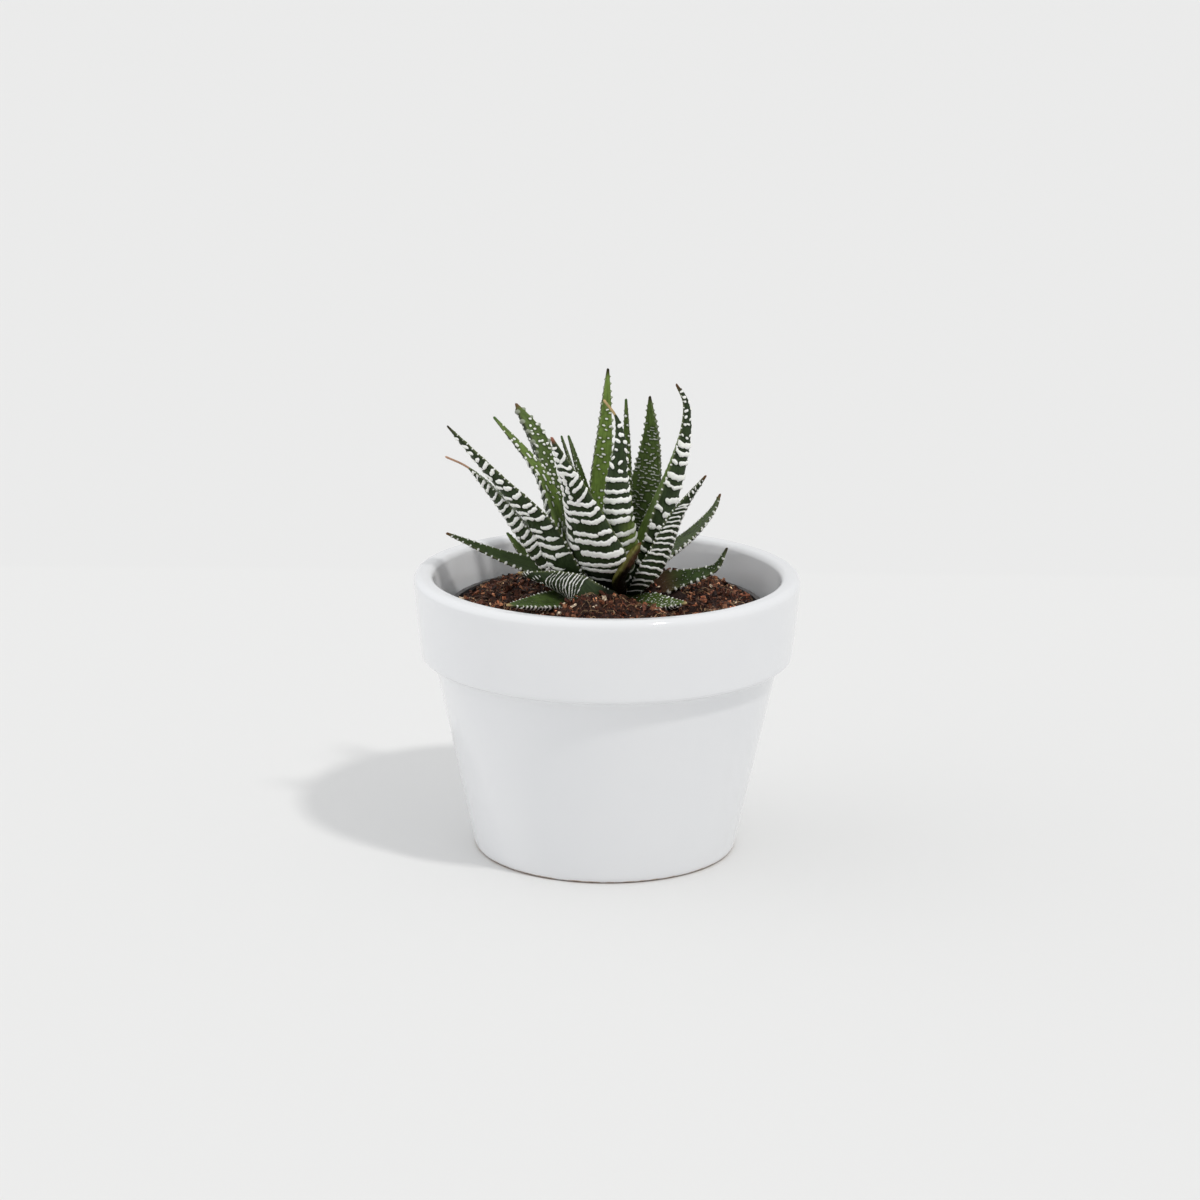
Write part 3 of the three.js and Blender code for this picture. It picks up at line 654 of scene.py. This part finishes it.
def band_row(leaf, at, edge, radius, rng):
    """One white band across the outer face, in one to three pieces that don't quite meet."""
    pitch, keel, splits = leaf["pitch"], leaf.get("keel", 1), leaf["splits"]
    cuts = []
    if "keel" in leaf and rng.random() < 0.7:
        cuts.append((keel + rng.uniform(-0.06, 0.06)) * edge)
    elif rng.random() < splits:
        cuts.append(rng.uniform(-0.3, 0.3) * edge)
    if rng.random() < splits and keel > 0:
        cuts.append(-rng.uniform(0.35, 0.65) * edge)
    ends = [-edge, *sorted(cuts), edge]
    bow = leaf["bow"] + rng.uniform(-0.1, 0.1) * pitch
    lift = tuple(side * pitch * rng.uniform(0.6, 1.3) for side in leaf["lift"])
    shape = dict(bow=bow, slant=leaf["slant"], stop=leaf.get("stop", abs(keel)), lift=lift)
    row = []
    for low, high in zip(ends, ends[1:]):
        shift = rng.uniform(-0.24, 0.24) * pitch if cuts else 0
        slit = radius * rng.uniform(0.95, 1.35)
        if high - low < 2.2 * slit:
            continue
        row.append(mark_at(at + shift, low + (slit if low in cuts else 0.6 * radius),
                           high - (slit if high in cuts else 0.6 * radius), radius * rng.uniform(0.88, 1.12),
                           tilt=rng.uniform(-0.07, 0.07), wave=rng.uniform(0.06, 0.15),
                           phase=rng.uniform(0, 6.3), **shape))
    return row


def bar_and_beads(leaf, at, edge, size, rng):
    """A slanted bar at the right margin with four beads beside it."""
    tilt = leaf["bars"] + rng.uniform(-0.2, 0.2)
    row = [mark_at(at, -0.85 * edge, -0.3 * edge, 1.2 * size, tilt=tilt)]
    for shift, place in BEADS:
        middle = place * edge + rng.uniform(-0.2, 0.2)
        row.append(mark_at(at + (shift + rng.uniform(-0.08, 0.08)) * leaf["pitch"], middle, middle,
                           1.35 * size * rng.uniform(0.85, 1.1)))
    return row


def dot_row(leaf, at, edge, radius, rng):
    """A row of separate blobs across the outer face, near the tip."""
    size = leaf["blob"] * radius / leaf["band"]
    if "bars" in leaf and edge > BARS_NEED:
        return bar_and_beads(leaf, at, edge, size, rng)
    spacing = rng.uniform(2.1, 2.5) * size + 0.2 if "lean" in leaf else rng.uniform(2.5, 3.2) * size + 0.4
    count = max(1, int(2 * edge / spacing))
    row = []
    for k in range(count):
        middle = edge * (-1 + (2 * k + 1) / count) + rng.uniform(-0.2, 0.2)
        stretch = rng.uniform(0, 0.5) * size
        row.append(mark_at(at + rng.uniform(-0.22, 0.22) * leaf["pitch"], middle - stretch, middle + stretch,
                           min(size * rng.uniform(0.75, 1.1), 0.5 * edge + 0.1), tilt=rng.uniform(-0.8, 0.8),
                           slant=0.6 * leaf["slant"], stop=leaf.get("stop", 1)))
    return row


def outer_marks(leaf, blade, edge_at, rng):
    """The marks of the outer face: broken bands first, and rows of dots towards the tip."""
    marks = []
    at = leaf.get("start", 0.7 * leaf["pitch"])
    while at < blade * 0.975:
        edge = edge_at(at)
        share = at / blade
        again = "bars" in leaf and BANDED_AGAIN[0] < share < BANDED_AGAIN[1]
        radius = leaf["band"] * rng.uniform(0.88, 1.12) * (1 - 0.25 * share)
        radius *= 0.5 + 0.5 * smooth(share / 0.3)
        if edge < NARROW:
            middle = (leaf.get("lean", 0) + rng.uniform(-0.4, 0.4)) * edge
            marks.append(mark_at(at, middle, middle, min(radius, 0.45 * edge + 0.1)))
        elif share < leaf["banded"] * rng.uniform(0.92, 1.08) or again:
            marks += band_row(leaf, at, edge, radius, rng)
        else:
            marks += dot_row(leaf, at, edge, radius, rng)
        at += leaf["pitch"] * rng.uniform(0.88, 1.12) * (1 - leaf["taper"] * share**2)
    return marks


def inner_marks(leaf, length, edge_at, rng):
    """Staggered rows of small raised dots or dashes on the inner face, on the leaves that have them."""
    marks = []
    if "dots" not in leaf:
        return marks
    first, last = leaf["dots_from"], leaf["dots_to"]
    at, stagger = length * first, 0
    dash = leaf["dash"] * leaf["dot"]
    while at < length * last:
        edge = edge_at(at) * 0.88
        spacing = 2 * dash + 1.1 * max(leaf["dots"], 4 * leaf["dot"])
        fade = smooth((at / length - first + 0.05) / 0.2) * smooth((last - at / length) / 0.12)
        q = -edge + spacing * (0.5 * stagger + rng.uniform(0, 0.4))
        while q < edge:
            if rng.random() < leaf["crowd"] * fade:
                middle = q + rng.uniform(-0.3, 0.3) * spacing
                stretch = rng.uniform(0.4, 1.5) * dash
                marks.append(mark_at(at + rng.uniform(-0.3, 0.3) * leaf["dots"], middle - stretch,
                                     middle + stretch, leaf["dot"] * rng.uniform(0.7, 1.25),
                                     tilt=rng.uniform(-0.3, 0.3),
                                     long=leaf["long"] * rng.uniform(0, 1.5)))
            q += spacing
        at += leaf["dots"] * 0.92
        stagger = 1 - stagger
    return marks


def margin_teeth(leaf, length, blade, rng):
    """The teeth of both margins: distance along, which margin, radius."""
    teeth = []
    for side in (0, 1):
        at = 0.08 * length
        while at < blade * 0.97:
            radius = leaf["tooth"] * rng.uniform(0.75, 1.2) * (1 - 0.35 * at / blade)
            teeth.append((at, side, radius))
            at += leaf["tooth_pitch"] * rng.uniform(0.8, 1.25)
    return teeth


def stamp(field, columns, marks, run, q, edge):
    """Puts marks into the field of distances to the nearest mark, on the columns of one face."""
    for mark in marks:
        rows = np.nonzero(np.abs(run - mark["at"]) < MARK_REACH)[0]
        block = np.ix_(rows, columns)
        distance = distance_to(mark, run[rows, None], q[rows], edge[rows, None])
        field[block] = np.minimum(field[block], distance)


def mark_fields(leaf, length, m, threaded, rng):
    """Distance to the nearest mark and the nearest tooth, and how far each margin's teeth rise."""
    run = m["run"]
    field = np.full(m["q"].shape, FAR)
    inner_start = m["q_outer"].shape[1]
    for face, start, marks_of, span in (("outer", 0, outer_marks, m["blade"]),
                                        ("inner", inner_start, inner_marks, length)):
        q, edge = m["q_" + face], m[face + "_edge"]
        marks = marks_of(leaf, span, lambda at: float(np.interp(at, run, edge)), rng)
        stamp(field, np.arange(start, start + q.shape[1]), marks, run, q, edge)
    tooth_field = np.full(field.shape, FAR)
    reach = np.zeros((2, *field.shape))
    for at, side, radius in margin_teeth(leaf, length, m["blade"], rng):
        near = np.nonzero(np.abs(run - at) < MARK_REACH)[0]
        from_margin = (m["second"] if side else m["first"])[near]
        distance = np.hypot(from_margin * leaf["barbed"], run[near, None] - at)
        tooth_field[near] = np.minimum(tooth_field[near], distance - radius)
        reach[side, near] = np.maximum(reach[side, near], radius * smooth((1.35 - distance / radius) / 1.1))
    field[threaded] = tooth_field[threaded] = FAR
    reach[:, threaded] = 0
    return field, tooth_field, reach


def raise_marks(leaf, s, m, points, field, reach):
    """Lifts the marks out of the smooth skin, and pushes the teeth out of the margins."""
    raised = MARK_HEIGHT * smooth((0.2 - field) / 0.5) * (USUAL_BAND + leaf["band"])
    raised = np.maximum(raised, TOOTH_HEIGHT * reach.max(0))
    raised *= smooth((s["length"] - m["run"]) / TIP_FADE)[:, None]
    around = np.roll(points, -1, 1) - np.roll(points, 1, 1)
    normal = np.cross(np.gradient(points, axis=0), around)
    normal = normal / np.maximum(np.linalg.norm(normal, axis=2, keepdims=True), 1e-9)
    points = points + normal * raised[..., None]
    points = points + leaf["lobed"] * (reach[0] - reach[1])[..., None] * s["across"][:, None]
    return points + TOOTH_LEAN * reach.max(0)[..., None] * s["tangent"][:, None]


def towards(tint, colour, amount):
    """Moves a grid of colours towards another by an amount for each point."""
    return tint * (1 - amount[..., None]) + colour * amount[..., None]


def living_colours(leaf, along, m, points, field, tooth_field):
    """The tint of a green leaf's skin, and how white the marks on it are."""
    inside = np.arange(field.shape[1]) >= m["q_outer"].shape[1]
    share = np.where(inside, 1, m["q"] / m["outer_edge"][:, None])
    inner_green = INNER_GREEN * (1 - leaf["bright"]) + BRIGHT_GREEN * leaf["bright"]
    tint = np.where(inside[None, :, None], inner_green, OUTER_GREEN)
    pale = np.where(inside, leaf["pale"], 1.0)
    pale = np.where(tooth_field < field, leaf["tooth_pale"], pale)
    tint = towards(tint, RIM_GREEN, 0.5 * smooth(1 - np.minimum(m["first"], m["second"]) / RIM_WIDTH))
    if "glow" in leaf:
        glow = smooth((leaf["glow"] - along) / 0.15) * smooth((0.3 - share) / 0.8)
        tint = towards(tint, YOUNG_GREEN, glow)
        pale = pale * (1 - GLOW_LOSS * glow)
    # Painted shade towards the leaf's base, which also dims its marks where the row gives dusk
    dusk = 1 - smooth(along / leaf.get("dusk", 0.25))
    if "dusk" in leaf:
        pale = pale * (1 - BASE_SHADE_LOSS * dusk)
    tint = towards(tint, SHADED_BASE_GREEN, BASE_SHADE * dusk * (YOUNG_SHADE if "glow" in leaf else 1))
    # Painted shade in a narrow skirt round each raised mark
    tint = tint * (1 - MARK_SKIRT_SHADE * smooth(1 - field / MARK_SKIRT_WIDTH))[..., None]
    # Painted shade in the heart of the crown, darkening the tint and dimming the marks
    crown_painted_shade = smooth((CROWN_REACH - np.linalg.norm(points - CROWN_SHADE_CENTRE, axis=2)) / CROWN_SOFTNESS)
    tint = tint * (1 - CROWN_SHADE * crown_painted_shade)[..., None]
    pale = pale * (1 - CROWN_SHADE_LOSS * crown_painted_shade)
    husk = smooth((leaf["husk"] - along) / 0.3)
    return towards(tint, HUSK_BROWN, husk), pale * (1 - HUSK_LOSS * husk)


def withered_tint(along, second):
    """Brown with an olive rim at one margin, and painted shade that makes it nearly black in its lowest
    third.
    """
    tint = towards(WITHERED_BROWN, RIM_OLIVE, smooth((2.2 - second) / 1.5))
    # Painted shade: the lowest third is darkened nearly to black
    return tint * (0.08 + 0.92 * smooth((along - 0.32 - 0.15 * np.minimum(second, 2)) / 0.1))[..., None]


def build_leaf(name, leaf, younger, material):
    rng = np.random.default_rng([SEED, *name.encode()])
    s, points, outer = skin_of(leaf)
    for inner, spine in younger.items():
        if inner not in leaf["over"]:
            points = make_room(points, spine)
    m = measure(leaf, s, points, outer)
    run, length, along = m["run"], s["length"], s["along"][:, None]
    threaded = run > m["blade"]
    field, tooth_field, reach = mark_fields(leaf, length, m, threaded, rng)
    points = raise_marks(leaf, s, m, points, field, reach)
    mark = np.clip(0.5 - np.minimum(field, tooth_field + 0.08) / MARK_EDGE, 0, 1)
    tint, pale = living_colours(leaf, along, m, points, field, tooth_field)
    if name == "leaf_withered":
        tint = withered_tint(along, m["second"])
        mark = mark * 0
    dry = smooth(1 - (length - run) / (0.9 + 0.03 * length))
    dry[threaded] = 1
    dry = np.repeat(dry[:, None], field.shape[1], 1)
    tint = towards(tint, TIP_COLOURS[leaf["tip"]], dry)

    rows, columns = field.shape
    count = rows * columns
    faces = ring_faces(rows, columns) + fan_faces(0, columns, count)
    faces += fan_faces(count - columns, columns, count + 1, flipped=True)
    base, tip = points[0].mean(0), points[-1].mean(0) + s["tangent"][-1] * TIP_RADIUS
    piece = new_piece(name + "_skin", np.vstack([points.reshape(-1, 3), base, tip]), faces, material)

    def with_ends(grid):
        flat = grid.reshape(count, -1)
        return np.concatenate([flat, flat[:1], flat[-columns, None]])

    for layer, values in (("mark", mark * (1 - dry)), ("dry", dry), ("pale", pale)):
        add_values(piece, layer, with_ends(values))
    add_colours(piece, "tint", with_ends(tint))
    plane = np.stack([m["q"], np.broadcast_to(run[:, None], m["q"].shape)], 2)
    add_plane_coordinates(piece, "leaf_plane", with_ends(plane))
    return piece


def build_leaves():
    living = leaf_material("leaf_tissue")
    withered = leaf_material("withered_tissue", 0.5)
    younger = {}
    for name, row in LEAVES.items():
        leaf = {**USUAL, **row}
        piece = build_leaf(name, leaf, younger, withered if name == "leaf_withered" else living)
        younger[name] = spine_of(leaf, SPINE_SAMPLES)
        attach(piece, "root")
        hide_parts(name)


# The flowerpot, turned finely from the model's own outline

POT_TURNS = 240
POT_CORNER = 0.9
ON_PLANE = 0.01


def outline_of(node):
    """The [radius, height] points of a turned node, in order from its underside's centre to its floor."""
    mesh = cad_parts[node].data
    places = {v.index: (round(v.co.x / MM, 2), round(v.co.z / MM, 2)) for v in mesh.vertices
              if abs(v.co.y) < ON_PLANE * MM and v.co.x > -ON_PLANE * MM}
    joined = {}
    for a, b in (edge.vertices for edge in mesh.edges):
        if a in places and b in places and places[a] != places[b]:
            joined.setdefault(places[a], set()).add(places[b])
            joined.setdefault(places[b], set()).add(places[a])
    walk = [min((p for p in joined if p[0] < ON_PLANE), key=lambda p: p[1])]
    while ahead := [p for p in joined[walk[-1]] if p not in walk]:
        walk.append(ahead[0])
    return np.array(walk)


def rounded(outline, cut, passes=3):
    """Softens an outline's corners, taking at most cut, or a quarter, off each side of a corner."""
    for _ in range(passes):
        points = [outline[0]]
        for a, b, c in zip(outline, outline[1:], outline[2:]):
            for other in (a, c):
                away = np.linalg.norm(other - b)
                points.append(b + (other - b) * min(cut / away, 0.25))
        points.append(outline[-1])
        outline = np.array(points)
        cut /= 2
    return outline


def turned(name, outline, turns, material):
    """A closed solid of revolution whose outline starts and ends on the axis."""
    angle = np.linspace(0, 2 * math.pi, turns, endpoint=False)
    inner = outline[1:-1]
    x, y = inner[:, :1] * np.cos(angle), inner[:, :1] * np.sin(angle)
    points = np.stack([x, y, np.broadcast_to(inner[:, 1:], x.shape)], 2).reshape(-1, 3)
    count = len(points)
    points = np.vstack([points, [0, 0, outline[0, 1]], [0, 0, outline[-1, 1]]])
    faces = ring_faces(len(inner), turns, flipped=True) + fan_faces(0, turns, count, flipped=True)
    return new_piece(name, points, faces + fan_faces(count - turns, turns, count + 1), material)


def build_flowerpot():
    outline = rounded(outline_of("flowerpot"), POT_CORNER)
    pot = turned("glazed_flowerpot", outline, POT_TURNS, glaze_material())
    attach(pot, "root")
    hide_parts("flowerpot")


# The soil

SOIL_EDGE = 70
SOIL_HEAP = 3.2
SOIL_BUMP = 0.45
SOIL_MOUNDS = [(22, 26, 2, 13), (-20, 22, 1.4, 12), (0, -10, 3.6, 5), (-7, -14, 3, 4.5),
               (13, 0.5, 4.2, 2.6)]
SOIL_RINGS = 110
SOIL_TURNS = 330

# The nursery pot's taper, in mm per mm
POT_TAPER = 0.2

# Crumbs of three sizes as [size, height]; round the crown they are lower, and the soil sinks
CRUMBS = [(3.1, 0.6), (1.3, 0.55), (0.6, 0.3)]
CALM_PLACE = (2.5, -3.0)
CALM_SPREAD = 260
CALM = 0.45
CALM_SINK = 0.7

# Chips as [least, most] of their length, width and thickness in sizes, and fibres of seven points
CHIPS = 5200
CHIP_SPANS = ((0.8, 2.2), (0.5, 1), (0.25, 0.6))
CHIP_SIZE = (-1.05, 0.42)
FIBRES = 380
FIBRE_STEPS = 7
CUBE = np.array([[i, j, k] for i in (-1, 1) for j in (-1, 1) for k in (-1, 1)], float)
CUBE_FACES = [(0, 1, 3, 2), (4, 6, 7, 5), (0, 4, 5, 1), (2, 3, 7, 6), (0, 2, 6, 4), (1, 5, 7, 3)]
UNDER_CHIPS_SHADE = 0.35
PALE_CHIPS = 0.06
SOIL_TINTS = np.array([[0.050, 0.018, 0.011], [0.090, 0.030, 0.016], [0.150, 0.052, 0.026],
                       [0.028, 0.013, 0.010], [0.230, 0.100, 0.052]])
PALE_TINTS = np.array([[0.360, 0.230, 0.130], [0.520, 0.420, 0.310]])


def ground(x, y, radius):
    """The model's soil surface: edge, heap, two crossed waves and the mounds."""
    share = np.hypot(x, y) / radius
    waves = np.sin(0.31 * x + 1) * np.cos(0.27 * y) + 0.6 * np.sin(0.63 * x + 0.52 * y)
    mounds = sum(high * np.exp(-((x - mx) ** 2 + (y - my) ** 2) / (2 * spread ** 2))
                 for mx, my, high, spread in SOIL_MOUNDS)
    return SOIL_EDGE + SOIL_HEAP * (1 - share ** 2) + SOIL_BUMP * waves * (1 - share ** 6) + mounds


class Heap:
    """Gathers the points, faces and colours of many shapes for one mesh."""

    def __init__(self):
        self.points, self.faces, self.colours, self.total = [], [], [], 0

    def add(self, points, faces, colours):
        self.points.append(points)
        self.faces.extend(tuple(self.total + v for v in face) for face in faces)
        self.colours.append(np.broadcast_to(colours, (len(points), 3)))
        self.total += len(points)


def add_surface(heap, height, radius, low, high):
    """The crumbly top in rings, closed by the pot's tapered wall and a flat base."""
    r = radius * np.sqrt(np.linspace(1, 0.0004, SOIL_RINGS))[:, None]
    angle = np.linspace(0, 2 * math.pi, SOIL_TURNS, endpoint=False)
    x, y = r * np.cos(angle), r * np.sin(angle)
    foot = radius - POT_TAPER * (high - low) - 1
    wall = np.stack([foot * np.cos(angle), foot * np.sin(angle), np.full(SOIL_TURNS, low)], 1)
    points = np.vstack([wall, np.stack([x, y, height(x, y)], 2).reshape(-1, 3), [0, 0, low]])
    last = SOIL_RINGS * SOIL_TURNS
    faces = ring_faces(SOIL_RINGS + 1, SOIL_TURNS, flipped=True) + [tuple(range(last, last + SOIL_TURNS))]
    faces += fan_faces(0, SOIL_TURNS, len(points) - 1, flipped=True)
    patch = ValueNoise(SEED + 1)(points[:, 0] / 0.8 + 40, points[:, 1] / 0.8)
    pick = np.clip(((patch + 1) / 2 * 3).astype(int), 0, 2)
    # Painted shade: the surface under the chips is much darker than the chips lying on it
    heap.add(points, faces, SOIL_TINTS[pick] * UNDER_CHIPS_SHADE)


def add_chips(heap, height, radius, rng):
    """Angular chips of bark and coir, turned and tilted where they lie."""
    spread = radius * np.sqrt(rng.random(CHIPS)) * 0.985
    turn = rng.uniform(0, 2 * math.pi, CHIPS)
    x, y = spread * np.cos(turn), spread * np.sin(turn)
    for place in np.stack([x, y, height(x, y)], 1):
        size = rng.lognormal(*CHIP_SIZE)
        shape = CUBE * np.array([size * rng.uniform(*span) for span in CHIP_SPANS])
        shape = shape * (1 + rng.uniform(-0.35, 0.35, shape.shape))
        a, b = rng.uniform(0, 2 * math.pi), rng.normal(0, 0.8)
        spin = np.array([[math.cos(a), -math.sin(a), 0], [math.sin(a), math.cos(a), 0], [0, 0, 1]])
        lean = np.array([[math.cos(b), 0, math.sin(b)], [0, 1, 0], [-math.sin(b), 0, math.cos(b)]])
        chip = shape @ (spin @ lean).T + place + [0, 0, 0.12 * size]
        chip[:, :2] *= np.minimum(1, radius / np.hypot(chip[:, 0], chip[:, 1]))[:, None]
        tint = PALE_TINTS[rng.integers(2)] if rng.random() < PALE_CHIPS else SOIL_TINTS[rng.integers(5)]
        # Each chip's tone is scaled at random; the lightest partly stand in for painted highlights
        heap.add(chip, CUBE_FACES, tint * rng.lognormal(0.1, 0.6))


def add_fibres(heap, height, radius, rng):
    """Thin curved coir fibres, as three-sided tubes."""
    steps = FIBRE_STEPS
    t = np.linspace(0, 1, steps)
    faces = [(c * steps + i, d * steps + i, d * steps + i + 1, c * steps + i + 1)
             for i in range(steps - 1) for c, d in ((0, 1), (1, 2), (2, 0))]
    faces += [(0, 2 * steps, steps), (steps - 1, 2 * steps - 1, 3 * steps - 1)]
    for _ in range(FIBRES):
        a, r = rng.uniform(0, 2 * math.pi), radius * math.sqrt(rng.random()) * 0.93
        heading, bend, run = rng.uniform(0, 2 * math.pi), rng.normal(0, 0.35), rng.uniform(2, 7)
        direction = heading + bend * t * 3
        x = r * math.cos(a) + np.cumsum(np.cos(direction)) * run / steps
        y = r * math.sin(a) + np.cumsum(np.sin(direction)) * run / steps
        keep = np.minimum(1, (radius - 0.6) / np.hypot(x, y))
        x, y = x * keep, y * keep
        z = height(x, y) + 0.2 + rng.uniform(0, 0.9) * np.sin(math.pi * t)
        thick = rng.uniform(0.06, 0.13)
        line = np.stack([x, y, z], 1)
        ahead = unit(np.gradient(line, axis=0))
        aside = unit(np.cross(ahead, [0, 0, 1.0]))
        above = np.cross(aside, ahead)
        tube = np.concatenate([line + thick * (math.cos(c) * aside + math.sin(c) * above)
                               for c in (0, 2.094, 4.189)])
        heap.add(tube, faces, PALE_TINTS[0] * rng.uniform(0.4, 1.1))


def build_soil():
    low, high = (np.array(corner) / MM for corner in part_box("soil"))
    radius = (high[0] - low[0]) / 2
    noises = [ValueNoise(SEED + k) for k in range(len(CRUMBS))]

    def height(x, y):
        crumbs = sum(tall * noise(x / size, y / size) for noise, (size, tall) in zip(noises, CRUMBS))
        calm = np.exp(-((x - CALM_PLACE[0]) ** 2 + (y - CALM_PLACE[1]) ** 2) / CALM_SPREAD)
        return ground(x, y, radius) + crumbs * (1 - CALM * calm) - CALM_SINK * calm

    rng = np.random.default_rng(SEED)
    heap = Heap()
    add_surface(heap, height, radius, low[2], high[2])
    add_chips(heap, height, radius, rng)
    add_fibres(heap, height, radius, rng)
    piece = new_piece("coir_soil_surface", np.vstack(heap.points), heap.faces, soil_material(), False)
    add_colours(piece, "tint", np.vstack(heap.colours))
    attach(piece, "root")
    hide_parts("soil")


def finish_hidden_nodes():
    """The nursery pot and the roots keep their model shapes, with their own finish."""
    for node, material in (("grow_pot", plastic_material()), ("stem_and_roots", root_material())):
        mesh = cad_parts[node].data
        mesh.materials.clear()
        mesh.materials.append(material)


# The floor, the light and the camera

def build_stage():
    """A large pale floor, a shade darker behind the seam."""
    n = Nodes(bpy.data.materials.new("pale_floor"))
    y = n.add("SeparateXYZ", {"Vector": n.place()}).outputs["Y"]
    behind = n.remap(y, FLOOR_SEAM - SEAM_SOFTNESS, FLOOR_SEAM + SEAM_SOFTNESS)
    n.set(Base_Color=n.between(behind, FLOOR_GREYS), Roughness=0.9, Specular_IOR_Level=0.1)
    corners = np.array([(-1, -1, 0), (1, -1, 0), (1, 1, 0), (-1, 1, 0)])
    floor = new_piece("floor", FLOOR_REACH * corners, [(0, 1, 2, 3)], n.owner, False)
    floor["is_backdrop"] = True


def build_light():
    """A sun, and a room that shines from five sides, each with its own strength."""
    world = bpy.data.worlds.new("pale_room")
    bpy.context.scene.world = world
    n = Nodes(world, "Background")
    direction = n.add("TexCoord").outputs["Generated"]
    total = 0.0
    for side, strength in ROOM_LIGHT:
        dot = n.add("VectorMath", {0: direction, 1: side}, operation="DOT_PRODUCT").outputs["Value"]
        facing = n.math("MAXIMUM", dot, 0.0)
        total = n.math("MULTIPLY_ADD", n.math("MULTIPLY", facing, facing), strength, total)
    n.set(Color=ROOM_COLOUR, Strength=total)
    sun = bpy.data.lights.new("key_light", "SUN")
    sun.energy = SUN_LIGHT
    sun.angle = math.radians(SUN_SPREAD)
    sun.color = SUN_COLOUR
    linked("key_light", sun).rotation_euler = Vector(TOWARDS_SUN).to_track_quat("Z", "Y").to_euler()
    bpy.context.scene.view_settings.view_transform = "Standard"


def build_camera():
    camera = bpy.data.cameras.new("photo_view")
    camera.sensor_width = SENSOR
    camera.lens = FOCAL_PIXELS * SENSOR / PHOTO_SIDE
    camera.shift_x = -(AIM_PIXEL[0] - PHOTO_SIDE / 2) / PHOTO_SIDE
    camera.shift_y = (AIM_PIXEL[1] - PHOTO_SIDE / 2) / PHOTO_SIDE
    camera.clip_end = 20
    holder = linked("photo_view", camera)
    tilt = math.radians(CAMERA_ELEVATION)
    away = CAMERA_DISTANCE * MM
    holder.location = (0, -away * math.cos(tilt), AIM_HEIGHT * MM + away * math.sin(tilt))
    facing = Vector((0, math.cos(tilt), -math.sin(tilt))).to_track_quat("-Z", "Y")
    holder.rotation_mode = "QUATERNION"
    holder.rotation_quaternion = facing @ Quaternion((0, 0, 1), math.radians(CAMERA_ROLL))
    bpy.context.scene.camera = holder


build_camera()
build_light()
build_stage()
build_flowerpot()
build_leaves()
build_soil()
finish_hidden_nodes()

visual_box = [list(corner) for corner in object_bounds()]
